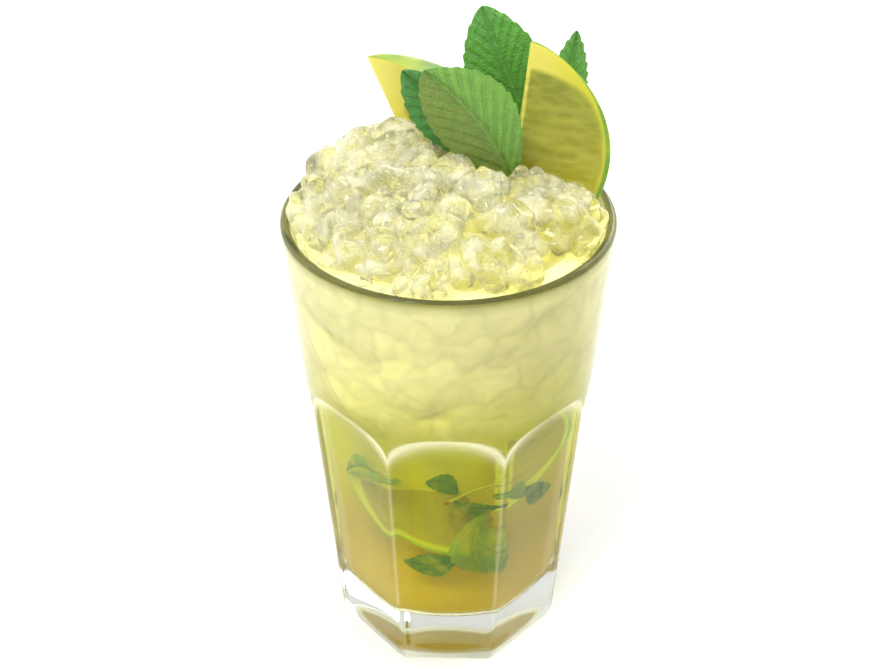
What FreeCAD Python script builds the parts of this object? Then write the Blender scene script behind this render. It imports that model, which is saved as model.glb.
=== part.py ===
import FreeCAD
import Part
import math
import os

from FreeCAD import Vector

# A mojito in its tall pressed-glass tumbler, in millimetres, +Z up. The origin is the centre of
# the glass's foot on the table, and -Y is the side that the drinker sees. The tumbler has a round
# lip, eight flat panels with arched tops and an octagonal foot. It holds the drink, a heap of
# crushed ice, two lime wedges and a sprig of four mint leaves.

# Tumbler
GLASS_HEIGHT = 138.0
LIP_RADIUS = 43.0
LIP_THICKNESS = 2.6
PANEL_COUNT = 8
PANEL_TURN = -1.1              # degrees that the panels are turned from square to the front
FOOT_APOTHEM = 32.6            # axis to a panel, at the foot
PANEL_FOOT_OF_ARCH = 84.0      # height at which two panels' arches meet
ARCH_APOTHEM = 36.9            # axis to a panel, at that height
ARCH_RISE = 10.0
ARCH_RAMP = 2.0                # how far an arch's sloping edge spreads on its way out
CONE_MARGIN = 0.05             # the round body stands this much outside the panels' ridges
HEEL_HEIGHT = 3.0
HEEL_INSET = 0.8
FLOOR_HEIGHT = 17.5
FLOOR_FILLET = 5.0
FLOOR_WALL_RADIUS = 29.6       # cavity radius just above the floor's fillet
WAIST_RADIUS = 34.6            # cavity radius at the foot of the arches
PUNT_RADIUS = 25.0             # shallow hollow under the foot
PUNT_DEPTH = 0.8

# Drink and ice
DRINK_LEVEL = 131.0
ICE_EDGE_HEIGHT = 137.5        # where the heap meets the lip, before it slopes
ICE_SLOPE_BACK = 0.05          # rise of the whole heap for each millimetre towards +Y
ICE_SLOPE_LEFT = 0.02          # and towards -X
ICE_DOME_RISE = 16.0
ICE_PEAK = {"x": -17.0, "y": 10.0, "rise": 5.0, "spread": 10.0}
ICE_LUMP_PITCH = 9.0
ICE_LUMP_RISE = 2.2
ICE_LIP_CLEARANCE = 0.3        # heap to the inside of the lip, above the wall
ICE_GRID = 34                  # spans of the heap's top surface, each way

# Limes: both wedges come from fruit of one size
LIME_LENGTH = 58.0
LIME_RADIUS = 24.5
LIME_NIPPLE = 1.8
LIME_POINTEDNESS = 1.18        # 1 for an ellipse, more for sharper ends
WEDGES = {
    "lime_wedge_right": {
        "top": Vector(20.3, 14.0, 177.4), "bottom": Vector(13.3, -0.5, 121.7),
        "face": Vector(1.0, 0.0, 0.0), "angle": 60.0,
    },
    "lime_wedge_left": {
        "top": Vector(-20.4, 22.0, 169.1), "bottom": Vector(1.1, 17.2, 117.6),
        "face": Vector(0.75, -0.50, 0.37), "angle": 38.0,
    },
}

# Mint: each leaf runs from base to tip, and roll turns its face about that line
LEAF_THICKNESS = 0.5
LEAF_TEETH = 11                # along each edge
LEAF_TOOTH = 0.7
LEAF_NECK = 0.7                # half width where the leaf meets its stalk
LEAVES = {
    "mint_leaf_tall": {
        "base": Vector(23.2, 32.5, 143.5), "tip": Vector(8.6, 35.3, 178.5),
        "half_width": 11.0, "widest_at": 0.50, "fullness": 0.68, "swerve": 0.0,
        "sag": 2.0, "cup": 0.08, "roll": -8.0,
    },
    "mint_leaf_front": {
        "base": Vector(16.2, 0.4, 144.5), "tip": Vector(-5.7, -2.0, 176.5),
        "half_width": 10.0, "widest_at": 0.58, "fullness": 0.64, "swerve": -3.2,
        "sag": 3.0, "cup": -0.14, "roll": 8.0,
    },
    "mint_leaf_left": {
        "base": Vector(11.5, 6.5, 145.0), "tip": Vector(-11.2, 5.5, 173.5),
        "half_width": 7.5, "widest_at": 0.60, "fullness": 0.80, "swerve": -1.5,
        "sag": 1.5, "cup": 0.12, "roll": 0.0,
    },
    "mint_leaf_right": {
        "base": Vector(28.4, 29.8, 144.5), "tip": Vector(33.5, 31.8, 173.2),
        "half_width": 5.6, "widest_at": 0.45, "fullness": 0.75, "swerve": 0.0,
        "sag": 1.5, "cup": 0.12, "roll": 10.0,
    },
}


def unit(vector):
    """The vector at length 1, leaving the one given as it is."""
    return vector * (1.0 / vector.Length)


def revolved(edges, angle=360.0):
    """A solid turned about Z from a closed outline in the XZ plane."""
    face = Part.Face(Part.Wire(Part.__sortEdges__(edges)))
    return face.revolve(Vector(0, 0, 0), Vector(0, 0, 1), angle)


def placed(shape, origin, x_axis, z_axis):
    """The shape moved so that its own X and Z point along the two given directions."""
    y_axis = z_axis.cross(x_axis)
    matrix = FreeCAD.Matrix(
        x_axis.x, y_axis.x, z_axis.x, origin.x,
        x_axis.y, y_axis.y, z_axis.y, origin.y,
        x_axis.z, y_axis.z, z_axis.z, origin.z,
        0, 0, 0, 1,
    )
    moved = shape.copy()
    moved.Placement = FreeCAD.Placement(matrix)
    return moved


def apothem(height):
    """Distance from the axis to a panel's plane at this height."""
    share = height / PANEL_FOOT_OF_ARCH
    return FOOT_APOTHEM + (ARCH_APOTHEM - FOOT_APOTHEM) * share


def ridge_radius(height):
    """Distance from the axis to the ridge between two panels."""
    return apothem(height) / math.cos(math.pi / PANEL_COUNT)


def round_body():
    """The tumbler's outside before its panels are pressed in, with a fully rounded lip."""
    lip_centre = LIP_RADIUS - LIP_THICKNESS / 2
    lip_height = GLASS_HEIGHT - LIP_THICKNESS / 2
    corners = [
        Vector(0, 0, 0),
        Vector(ridge_radius(0) + CONE_MARGIN, 0, 0),
        Vector(ridge_radius(PANEL_FOOT_OF_ARCH) + CONE_MARGIN, 0, PANEL_FOOT_OF_ARCH),
        Vector(LIP_RADIUS, 0, lip_height),
    ]
    edges = [Part.LineSegment(a, b).toShape() for a, b in zip(corners, corners[1:])]
    inner = Vector(LIP_RADIUS - LIP_THICKNESS, 0, lip_height)
    edges.append(Part.Arc(corners[-1], Vector(lip_centre, 0, GLASS_HEIGHT), inner).toShape())
    edges.append(Part.LineSegment(inner, Vector(0, 0, lip_height)).toShape())
    edges.append(Part.LineSegment(Vector(0, 0, lip_height), corners[0]).toShape())
    return revolved(edges)


def cavity(top):
    """The space inside the wall up to a height, with a rounded corner round its floor."""
    fillet_centre = Vector(FLOOR_WALL_RADIUS - FLOOR_FILLET, 0, FLOOR_HEIGHT + FLOOR_FILLET)
    floor_edge = Vector(fillet_centre.x, 0, FLOOR_HEIGHT)
    wall_foot = Vector(FLOOR_WALL_RADIUS, 0, fillet_centre.z)
    corner = fillet_centre + Vector(FLOOR_FILLET, 0, -FLOOR_FILLET) * math.sqrt(0.5)
    waist = Vector(WAIST_RADIUS, 0, PANEL_FOOT_OF_ARCH)
    lip = Vector(LIP_RADIUS - LIP_THICKNESS, 0, GLASS_HEIGHT - LIP_THICKNESS / 2)
    wall = Part.BSplineCurve()
    wall.interpolate([wall_foot, waist, lip], InitialTangent=Vector(0, 0, 1),
                     FinalTangent=unit(lip - waist))
    over = Vector(lip.x, 0, GLASS_HEIGHT + 40)
    edges = [
        Part.LineSegment(Vector(0, 0, FLOOR_HEIGHT), floor_edge).toShape(),
        Part.Arc(floor_edge, corner, wall_foot).toShape(),
        wall.toShape(),
        Part.LineSegment(lip, over).toShape(),
        Part.LineSegment(over, Vector(0, 0, over.z)).toShape(),
        Part.LineSegment(Vector(0, 0, over.z), Vector(0, 0, FLOOR_HEIGHT)).toShape(),
    ]
    below = Part.makeCylinder(2 * LIP_RADIUS, top)
    return revolved(edges).common(below)


def window(half_width, rise, out):
    """An arched outline standing in the YZ plane, at a distance out along X."""
    foot, base = PANEL_FOOT_OF_ARCH, -10.0
    left, right = Vector(out, -half_width, foot), Vector(out, half_width, foot)
    low_left, low_right = Vector(out, -half_width, base), Vector(out, half_width, base)
    arch = Part.Arc(right, Vector(out, 0, foot + rise), left).toShape()
    sides = [(left, low_left), (low_left, low_right), (low_right, right)]
    return Part.Wire([arch] + [Part.LineSegment(a, b).toShape() for a, b in sides])


def panel_cutter(turn):
    """What is pressed away outside one panel: an arched window with a sloping edge."""
    half_width = apothem(PANEL_FOOT_OF_ARCH) * math.tan(math.pi / PANEL_COUNT)
    depth = 12.0
    spread = ARCH_RAMP * depth / (ridge_radius(PANEL_FOOT_OF_ARCH) - ARCH_APOTHEM)
    inner = window(half_width, ARCH_RISE - ARCH_RAMP, 0.0)
    outer = window(half_width + spread / 3, ARCH_RISE - ARCH_RAMP + spread, depth)
    cutter = Part.makeLoft([inner, outer], True, True)
    # The panel leans out with height, so the window is sheared to lie on its plane.
    lean = (ARCH_APOTHEM - FOOT_APOTHEM) / PANEL_FOOT_OF_ARCH
    shear = FreeCAD.Matrix(1, 0, lean, FOOT_APOTHEM, 0, 1, 0, 0, 0, 0, 1, 0, 0, 0, 0, 1)
    cutter = cutter.transformGeometry(shear)
    cutter.rotate(Vector(0, 0, 0), Vector(0, 0, 1), turn)
    return cutter


def heel_cutter(turn):
    """The bevel round the foot, along one panel's lower edge."""
    top, bottom = apothem(HEEL_HEIGHT), FOOT_APOTHEM - HEEL_INSET
    section = [
        Vector(bottom, 0, 0), Vector(top, 0, HEEL_HEIGHT), Vector(top + 20, 0, HEEL_HEIGHT),
        Vector(top + 20, 0, -1), Vector(bottom, 0, -1), Vector(bottom, 0, 0),
    ]
    width = 2 * LIP_RADIUS
    cutter = Part.Face(Part.makePolygon(section)).extrude(Vector(0, width, 0))
    cutter.translate(Vector(0, -width / 2, 0))
    cutter.rotate(Vector(0, 0, 0), Vector(0, 0, 1), turn)
    return cutter


def tumbler():
    """The glass: a round body, less its panels, its heel, its cavity and the hollow below."""
    body = round_body()
    for number in range(PANEL_COUNT):
        turn = -90 + PANEL_TURN + number * 360.0 / PANEL_COUNT
        body = body.cut(panel_cutter(turn)).cut(heel_cutter(turn))
    body = body.cut(cavity(GLASS_HEIGHT + 20))
    punt_ball = (PUNT_RADIUS ** 2 + PUNT_DEPTH ** 2) / (2 * PUNT_DEPTH)
    return body.cut(Part.makeSphere(punt_ball, Vector(0, 0, PUNT_DEPTH - punt_ball)))


def heap_height(x, y):
    """Height of the ice at a point: a dome, a taller pile at the back left, and lumps."""
    reach = LIP_RADIUS - LIP_THICKNESS
    radius = math.hypot(x, y)
    dome = ICE_DOME_RISE * max(0.0, 1 - (radius / reach) ** 2) ** 0.8
    away = math.hypot(x - ICE_PEAK["x"], y - ICE_PEAK["y"])
    pile = ICE_PEAK["rise"] * math.exp(-(away / ICE_PEAK["spread"]) ** 2)
    turn = 2 * math.pi / ICE_LUMP_PITCH
    lumps = (
        math.sin(turn * (x + 0.35 * y) + 1.3)
        + math.sin(turn * (0.8 * y - 0.45 * x) + 0.4)
        + math.sin(turn * (0.6 * x + 0.9 * y) * 1.3 + 2.1)
    ) / 3
    slope = ICE_SLOPE_BACK * y - ICE_SLOPE_LEFT * x
    return ICE_EDGE_HEIGHT + slope + dome + pile + ICE_LUMP_RISE * lumps


def ice_heap():
    """The crushed ice as one solid from the drink's surface up to its lumpy outline."""
    reach = LIP_RADIUS + 2
    steps = [reach * (2 * i / ICE_GRID - 1) for i in range(ICE_GRID + 1)]
    top = Part.BSplineSurface()
    top.interpolate([[Vector(x, y, heap_height(x, y)) for y in steps] for x in steps])
    column = top.toShape().extrude(Vector(0, 0, -60))
    space = cavity(GLASS_HEIGHT + 35)
    above = Part.makeCylinder(LIP_RADIUS - LIP_THICKNESS - ICE_LIP_CLEARANCE, 40,
                              Vector(0, 0, GLASS_HEIGHT - LIP_THICKNESS / 2))
    below = Part.makeCylinder(LIP_RADIUS, GLASS_HEIGHT - LIP_THICKNESS / 2 - DRINK_LEVEL,
                              Vector(0, 0, DRINK_LEVEL))
    return column.common(space.common(below).fuse(above)).removeSplitter()


def lime_wedge(top, bottom, face, angle):
    """A lime's wedge: its pointed outline turned through an angle about the core."""
    half = LIME_LENGTH / 2 - LIME_NIPPLE
    outline = []
    steps = 14
    for i in range(steps + 1):
        turn = math.pi * i / steps
        along = half * math.cos(turn) + LIME_NIPPLE * math.cos(turn) ** 9
        outline.append(Vector(LIME_RADIUS * math.sin(turn) ** LIME_POINTEDNESS, 0, along))
    rind = Part.BSplineCurve()
    rind.interpolate(outline)
    core = Part.LineSegment(outline[-1], outline[0])
    wedge = revolved([rind.toShape(), core.toShape()], angle)
    up = unit(top - bottom)
    across = unit(face - up * face.dot(up))
    return placed(wedge, (top + bottom) * 0.5, across, up)


def leaf_half_width(share, half_width, widest_at, fullness):
    """Half the leaf's width at a share of its length, which is 0 at the base and 1 at the tip."""
    swell = math.sin(math.pi * share ** (math.log(0.5) / math.log(widest_at)))
    return max(LEAF_NECK * (1 - share), half_width * max(0.0, swell) ** fullness)


def leaf_edge(length, half_width, widest_at, fullness, swerve, side):
    """One edge of the leaf from base to tip, with its teeth, about a midrib that swerves."""
    points = []
    for tooth in range(LEAF_TEETH + 1):
        share = tooth / (LEAF_TEETH + 1.0)
        middle = swerve * 4 * share * (1 - share)
        width = leaf_half_width(share, half_width, widest_at, fullness)
        bite = LEAF_TOOTH / 2 if tooth else 0.0
        points.append(Vector(share * length, middle + side * (width + bite), 0))
        if tooth:
            points.append(Vector((share + 0.01) * length, middle + side * (width - bite), 0))
    return points


def leaf_blade(length, half_width, widest_at, fullness, swerve, sag, cup):
    """A leaf lying along X with its face up: a bowed blade with a toothed edge."""
    across = half_width * 1.25 + abs(swerve)
    rows, columns = 12, 8
    grid = []
    for i in range(rows + 1):
        x = length * (1.1 * i / rows - 0.05)
        bow = sag * 4 * (x / length) * (1 - x / length)
        line = []
        for j in range(columns + 1):
            y = across * (2 * j / columns - 1)
            line.append(Vector(x, y, bow + cup * y * y / half_width))
        grid.append(line)
    surface = Part.BSplineSurface()
    surface.interpolate(grid)
    slab = surface.toShape().extrude(Vector(0, 0, -LEAF_THICKNESS))
    right = leaf_edge(length, half_width, widest_at, fullness, swerve, -1)
    left = leaf_edge(length, half_width, widest_at, fullness, swerve, 1)
    outline = Part.makePolygon(right + [Vector(length, 0, 0)] + left[::-1] + right[:1])
    prism = Part.Face(outline).extrude(Vector(0, 0, 60))
    prism.translate(Vector(0, 0, -30))
    return slab.common(prism)


def mint_leaf(base, tip, half_width, widest_at, fullness, swerve, sag, cup, roll):
    """A leaf placed between two points, its face towards the front and then rolled."""
    along = unit(tip - base)
    front = Vector(0, -1, 0)
    face = unit(front - along * front.dot(along))
    face = FreeCAD.Rotation(along, roll).multVec(face)
    length = (tip - base).Length
    blade = leaf_blade(length, half_width, widest_at, fullness, swerve, sag, cup)
    return placed(blade, base, along, face)


def build():
    """Every piece by its node's name."""
    garnish = {name: lime_wedge(**sizes) for name, sizes in WEDGES.items()}
    garnish.update({name: mint_leaf(**sizes) for name, sizes in LEAVES.items()})
    drink = cavity(DRINK_LEVEL)
    ice = ice_heap()
    for piece in garnish.values():
        drink = drink.cut(piece)
        ice = ice.cut(piece)
    return {"glass": tumbler(), "drink": drink, "crushed_ice": ice, **garnish}


os.makedirs("parts", exist_ok=True)
for node, shape in build().items():
    print(node, "valid", shape.isValid(), "solids", len(shape.Solids), "cc", round(shape.Volume / 1000, 2))
    shape.exportStep("parts/" + node + ".step")
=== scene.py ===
"""The looks of a mojito: tumbler, cloudy drink, crushed ice, lime wedges and mint.

Every length is in metres and every angle in degrees unless its name says otherwise. +Z is up, and
the drinker looks along +Y.
"""

from __future__ import annotations

import logging
import math
from dataclasses import dataclass, field, replace
from enum import Enum
from typing import Any, Sequence

import bmesh
import bpy
import numpy as np
from mathutils import Matrix, Vector
from mathutils.bvhtree import BVHTree

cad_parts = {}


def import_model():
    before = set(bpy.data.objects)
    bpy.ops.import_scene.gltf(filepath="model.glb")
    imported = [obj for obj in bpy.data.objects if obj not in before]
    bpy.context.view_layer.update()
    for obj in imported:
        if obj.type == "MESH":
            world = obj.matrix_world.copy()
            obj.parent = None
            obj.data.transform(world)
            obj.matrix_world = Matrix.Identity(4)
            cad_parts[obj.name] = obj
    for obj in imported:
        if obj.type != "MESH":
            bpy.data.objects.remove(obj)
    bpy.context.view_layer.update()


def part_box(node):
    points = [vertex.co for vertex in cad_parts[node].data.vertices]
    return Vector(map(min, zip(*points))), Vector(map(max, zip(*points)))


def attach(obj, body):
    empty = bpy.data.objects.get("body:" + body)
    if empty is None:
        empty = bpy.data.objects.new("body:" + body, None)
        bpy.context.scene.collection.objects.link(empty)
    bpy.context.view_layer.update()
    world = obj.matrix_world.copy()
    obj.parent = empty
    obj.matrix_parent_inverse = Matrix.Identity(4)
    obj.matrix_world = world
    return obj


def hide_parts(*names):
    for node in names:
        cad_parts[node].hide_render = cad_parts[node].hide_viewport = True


LOG = logging.getLogger("mojito")
MM = 0.001
FULL_TURN = 2 * math.pi
Colour = tuple[float, float, float, float]
Array = np.ndarray


def rgb(red: float, green: float, blue: float) -> Colour:
    """Turns a colour as a screen shows it, from 0 to 255, into the renderer's linear values.

    Args:
        red: The red share on the screen.
        green: The green share on the screen.
        blue: The blue share on the screen.

    Returns:
        The linear colour with an alpha of 1.
    """
    linear = [
        c / 12.92 if c <= 0.04045 else ((c + 0.055) / 1.055) ** 2.4
        for c in (red / 255, green / 255, blue / 255)
    ]
    return linear[0], linear[1], linear[2], 1.0


def smooth(low: float, high: float, value: Any) -> Any:
    """Rises smoothly from 0 at low to 1 at high, for a number or an array."""
    share = np.clip((value - low) / (high - low), 0.0, 1.0)
    return share * share * (3.0 - 2.0 * share)


class Randomness:
    """Seeded smooth noise for meshes, from a lattice of random values."""

    SIDE = 32

    def __init__(self, seed: int) -> None:
        """Fills the lattice.

        Args:
            seed: Which of the possible noises to give.
        """
        self.lattice = np.random.default_rng(seed).uniform(-1, 1, (self.SIDE,) * 3)

    def at(self, places: Array, size: float) -> Array:
        """Reads the noise at some points.

        Args:
            places: Points, with X, Y and Z along the last axis.
            size: The distance over which the noise changes.

        Returns:
            One value from -1 to 1 for each point.
        """
        scaled = places / size
        floor = np.floor(scaled).astype(int)
        part = scaled - floor
        part = part * part * (3 - 2 * part)
        total = np.zeros(places.shape[:-1])
        for corner in np.ndindex(2, 2, 2):
            weight = np.ones(places.shape[:-1])
            for axis in range(3):
                share = part[..., axis]
                weight = weight * (share if corner[axis] else 1 - share)
            index = [(floor[..., axis] + corner[axis]) % self.SIDE for axis in range(3)]
            total += weight * self.lattice[index[0], index[1], index[2]]
        return total


# ------------------------------------------------------------------------------- shader helpers


@dataclass(frozen=True)
class Link:
    """A node's output, which Python's operators combine with others through Math nodes."""

    shader: "Shader"
    socket: Any

    def __add__(self, other: "Link | float") -> "Link":
        """Adds a value."""
        return self.shader.math("ADD", self, other)

    def __radd__(self, other: float) -> "Link":
        """Adds this to a number."""
        return self.shader.math("ADD", other, self)

    def __sub__(self, other: "Link | float") -> "Link":
        """Takes a value away."""
        return self.shader.math("SUBTRACT", self, other)

    def __rsub__(self, other: float) -> "Link":
        """Takes this away from a number."""
        return self.shader.math("SUBTRACT", other, self)

    def __mul__(self, other: "Link | float") -> "Link":
        """Multiplies by a value."""
        return self.shader.math("MULTIPLY", self, other)

    def __rmul__(self, other: float) -> "Link":
        """Multiplies a number by this."""
        return self.shader.math("MULTIPLY", other, self)

    def __truediv__(self, other: "Link | float") -> "Link":
        """Divides by a value."""
        return self.shader.math("DIVIDE", self, other)

    def __rtruediv__(self, other: float) -> "Link":
        """Divides a number by this."""
        return self.shader.math("DIVIDE", other, self)


class Shader:
    """One material's nodes, made by expressions."""

    def __init__(self, name: str) -> None:
        """Starts an empty material.

        Args:
            name: The material's name.
        """
        self.material = bpy.data.materials.new(name)
        self.material.use_nodes = True
        self.tree = self.material.node_tree
        self.tree.nodes.clear()

    def node(
        self,
        kind: str,
        settings: dict[str, Any] | None = None,
        values: dict[str, Any] | None = None,
        output: int | str = 0,
    ) -> Link:
        """Adds a node.

        Args:
            kind: The node's type, without its ShaderNode prefix.
            settings: Its settings, set first. A ramp's "stops" are pairs of place and colour.
            values: Its sockets' values or links, by the socket's name or identifier.
            output: Which output to return.

        Returns:
            That output.
        """
        made = self.tree.nodes.new("ShaderNode" + kind)
        for name, setting in (settings or {}).items():
            if name == "stops":
                self._set_stops(made.color_ramp, setting)
            else:
                setattr(made, name, setting)
        for name, value in (values or {}).items():
            sockets = [s for s in made.inputs if s.identifier == name]
            socket = sockets[0] if sockets else made.inputs[name]
            if isinstance(value, Link):
                self.tree.links.new(value.socket, socket)
            else:
                socket.default_value = value
        return Link(self, made.outputs[output])

    @staticmethod
    def _set_stops(ramp: Any, stops: Sequence[tuple[float, Colour]]) -> None:
        """Gives a colour ramp its stops.

        Args:
            ramp: The node's ramp.
            stops: Pairs of place, from 0 to 1 and rising, and colour.
        """
        while len(ramp.elements) > 1:
            ramp.elements.remove(ramp.elements[-1])
        ramp.elements[0].position, ramp.elements[0].color = stops[0]
        for place, colour in stops[1:]:
            ramp.elements.new(place).color = colour

    def math(self, operation: str, first: "Link | float", second: "Link | float" = 0.0) -> Link:
        """Adds a Math node for one operation on two values."""
        return self.node("Math", {"operation": operation}, {"Value": first, "Value_001": second})

    def step(self, value: Link, low: float, high: float) -> Link:
        """Rises smoothly from 0 where the value is low to 1 where it is high.

        Args:
            value: The value.
            low: Where the rise starts.
            high: Where it ends.

        Returns:
            The risen share.
        """
        return self.node(
            "MapRange",
            {"interpolation_type": "SMOOTHSTEP"},
            {"Value": value, "From Min": low, "From Max": high},
        )

    def blend(self, share: "Link | float", first: "Link | Colour", second: "Link | Colour") -> Link:
        """Mixes two colours: the first where the share is 0, the second where it is 1."""
        values = {"Factor_Float": share, "A_Color": first, "B_Color": second}
        return self.node("Mix", {"data_type": "RGBA"}, values, output=2)

    def shade(self, colour: "Link | Colour", amount: Link) -> Link:
        """Multiplies a colour by a grey amount."""
        values = {"Factor_Float": 1.0, "A_Color": colour, "B_Color": amount}
        return self.node("Mix", {"data_type": "RGBA", "blend_type": "MULTIPLY"}, values, output=2)

    def attribute(self, name: str, output: str = "Fac") -> Link:
        """Reads a mesh attribute."""
        return self.node("Attribute", {"attribute_name": name}, output=output)

    def place(self) -> Link:
        """Reads the point's place in the object's own space, in metres."""
        return self.node("TexCoord", output="Object")

    def stretched(self, vector: Link, by: tuple[float, float, float]) -> Link:
        """Multiplies a vector's parts, so that a texture is stretched or squeezed."""
        values = {"Vector": vector, "Vector_001": by}
        return self.node("VectorMath", {"operation": "MULTIPLY"}, values)

    def noise(self, vector: Link, size: float, detail: float = 3.0, twist: float = 0.0) -> Link:
        """Gives noise from 0 to 1 whose blobs are about one size across."""
        values = {"Vector": vector, "Scale": 1 / size, "Detail": detail, "Distortion": twist}
        return self.node("TexNoise", values=values)

    def cells(self, vector: Link, size: float, feature: str = "F1") -> Link:
        """Gives the distance within, or from the edges of, cells of about one size."""
        values = {"Vector": vector, "Scale": 1 / size}
        return self.node("TexVoronoi", {"feature": feature}, values, output="Distance")

    def bump(self, height: Link, depth: float, strength: float = 1.0) -> Link:
        """Turns a height from 0 to 1 into a surface normal, for relief of a depth in metres."""
        values = {"Height": height, "Distance": depth, "Strength": strength}
        return self.node("Bump", values=values, output="Normal")

    def principled(self, **values: Any) -> Link:
        """Adds a Principled shader, with underscores in its sockets' names for spaces."""
        named = {name.replace("_", " "): value for name, value in values.items()}
        return self.node("BsdfPrincipled", values=named)

    def mixed(self, share: "Link | float", first: Link, second: Link) -> Link:
        """Mixes two shaders: the first where the share is 0, the second where it is 1.

        Args:
            share: The share of the second.
            first: The first shader.
            second: The second shader.

        Returns:
            The mix.
        """
        made = self.tree.nodes.new("ShaderNodeMixShader")
        for socket, value in zip(made.inputs, (share, first, second)):
            if isinstance(value, Link):
                self.tree.links.new(value.socket, socket)
            else:
                socket.default_value = value
        return Link(self, made.outputs[0])

    def lit_through(self, surface: Link, tint: Colour) -> Link:
        """Lets light pass a clear surface, tinted, so that what is behind it is lit."""
        open_way = self.node("BsdfTransparent", values={"Color": tint})
        return self.mixed(self.node("LightPath", output="Is Shadow Ray"), surface, open_way)

    def finish(self, surface: Link, inside: Link | None = None) -> bpy.types.Material:
        """Ends the material.

        Args:
            surface: The shader that the surface shows.
            inside: The shader of what it is filled with, if light is absorbed there.

        Returns:
            The material.
        """
        output = self.tree.nodes.new("ShaderNodeOutputMaterial")
        self.tree.links.new(surface.socket, output.inputs["Surface"])
        if inside is not None:
            self.tree.links.new(inside.socket, output.inputs["Volume"])
        return self.material

    def absorbing(self, colour: Colour, density: float) -> Link:
        """Adds a filling that takes up light: the colour is what passes, the density per metre."""
        return self.node("VolumeAbsorption", values={"Color": colour, "Density": density})


# --------------------------------------------------------------------------------- mesh helpers


def new_object(
    name: str,
    points: Array,
    faces: Array | Sequence[Sequence[int]],
    material: bpy.types.Material,
    attributes: dict[str, Array] | None = None,
) -> bpy.types.Object:
    """Makes a smooth-shaded mesh object.

    Args:
        name: The piece's name.
        points: One row of X, Y and Z for each vertex.
        faces: One row of vertex numbers for each face.
        material: Its finish.
        attributes: Values for each vertex, by name: a number, or three for a vector.

    Returns:
        The object, linked into the scene.
    """
    mesh = bpy.data.meshes.new(name)
    rows = faces.tolist() if isinstance(faces, np.ndarray) else faces
    mesh.from_pydata(points.tolist(), [], rows)
    mesh.polygons.foreach_set("use_smooth", [True] * len(mesh.polygons))
    for key, values in (attributes or {}).items():
        vector = values.ndim == 2
        made = mesh.attributes.new(key, "FLOAT_VECTOR" if vector else "FLOAT", "POINT")
        made.data.foreach_set("vector" if vector else "value", values.astype(np.float32).ravel())
    mesh.update()
    mesh.materials.append(material)
    made_object = bpy.data.objects.new(name, mesh)
    bpy.context.scene.collection.objects.link(made_object)
    return made_object


def strip_faces(rows: int, columns: int, closed: bool, start: int = 0) -> Array:
    """Numbers the quads of a grid of vertices.

    Args:
        rows: How many rows of vertices there are.
        columns: How many vertices each row has.
        closed: Whether each row's end joins its beginning.
        start: The first vertex's number.

    Returns:
        One row of four vertex numbers for each quad.
    """
    spans = columns if closed else columns - 1
    row, column = np.meshgrid(np.arange(rows - 1), np.arange(spans), indexing="ij")
    after = (column + 1) % columns
    quads = [row * columns + column, row * columns + after]
    quads += [(row + 1) * columns + after, (row + 1) * columns + column]
    return start + np.stack([q.ravel() for q in quads], axis=1)


def lathe(radii: Array, heights: Array, columns: int) -> tuple[Array, list[list[int]]]:
    """Turns rings of points into a closed body, with a point at each end.

    Args:
        radii: The distance from the axis: one row for each ring, one column for each direction.
        heights: The height, with the same shape.
        columns: How many directions there are.

    Returns:
        The vertices and the faces.
    """
    turn = np.linspace(0, FULL_TURN, columns, endpoint=False)
    rings = np.stack([radii * np.cos(turn), radii * np.sin(turn), heights], axis=-1)
    points = np.concatenate([rings.reshape(-1, 3), rings[0].mean(0)[None], rings[-1].mean(0)[None]])
    faces = strip_faces(len(radii), columns, closed=True).tolist()
    first, last = len(points) - 2, len(points) - 1
    top = (len(radii) - 1) * columns
    for i in range(columns):
        after = (i + 1) % columns
        faces.append([first, after, i])
        faces.append([last, top + i, top + after])
    return points, faces


def ball(detail: int) -> tuple[Array, Array]:
    """Gives the points and triangles of a sphere of radius 1 made of even triangles.

    Args:
        detail: How often the starting shape is divided.

    Returns:
        The points, and three vertex numbers for each triangle.
    """
    form = bmesh.new()
    bmesh.ops.create_icosphere(form, subdivisions=detail, radius=1.0)
    points = np.array([v.co[:] for v in form.verts])
    faces = np.array([[v.index for v in f.verts] for f in form.faces])
    form.free()
    return points, faces


def unit(vector: Sequence[float]) -> Array:
    """Gives the vector at length 1."""
    array = np.asarray(vector, dtype=float)
    return array / np.linalg.norm(array)


def axes_from(along: Sequence[float], face: Sequence[float]) -> Array:
    """Makes a piece's own axes, as rows: X along, Z as near to the face as is square to it.

    Args:
        along: The direction of X.
        face: The direction that Z comes near to.

    Returns:
        The three axes.
    """
    x = unit(along)
    z = np.asarray(face, dtype=float)
    z = unit(z - x * z.dot(x))
    return np.stack([x, np.cross(z, x), z])


def turned(vector: Array, about: Array, degrees: float) -> Array:
    """Turns a vector about an axis by the right-hand rule."""
    matrix = Matrix.Rotation(math.radians(degrees), 3, Vector(about))
    return np.array(matrix @ Vector(vector))


def fit_to_node(points: Array, node: str) -> Array:
    """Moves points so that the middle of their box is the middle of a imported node's box."""
    low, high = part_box(node)
    middle = (np.array(low) + np.array(high)) / 2
    return points + middle - (points.min(0) + points.max(0)) / 2


# --------------------------------------------------------------------------------------- finishes


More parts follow.
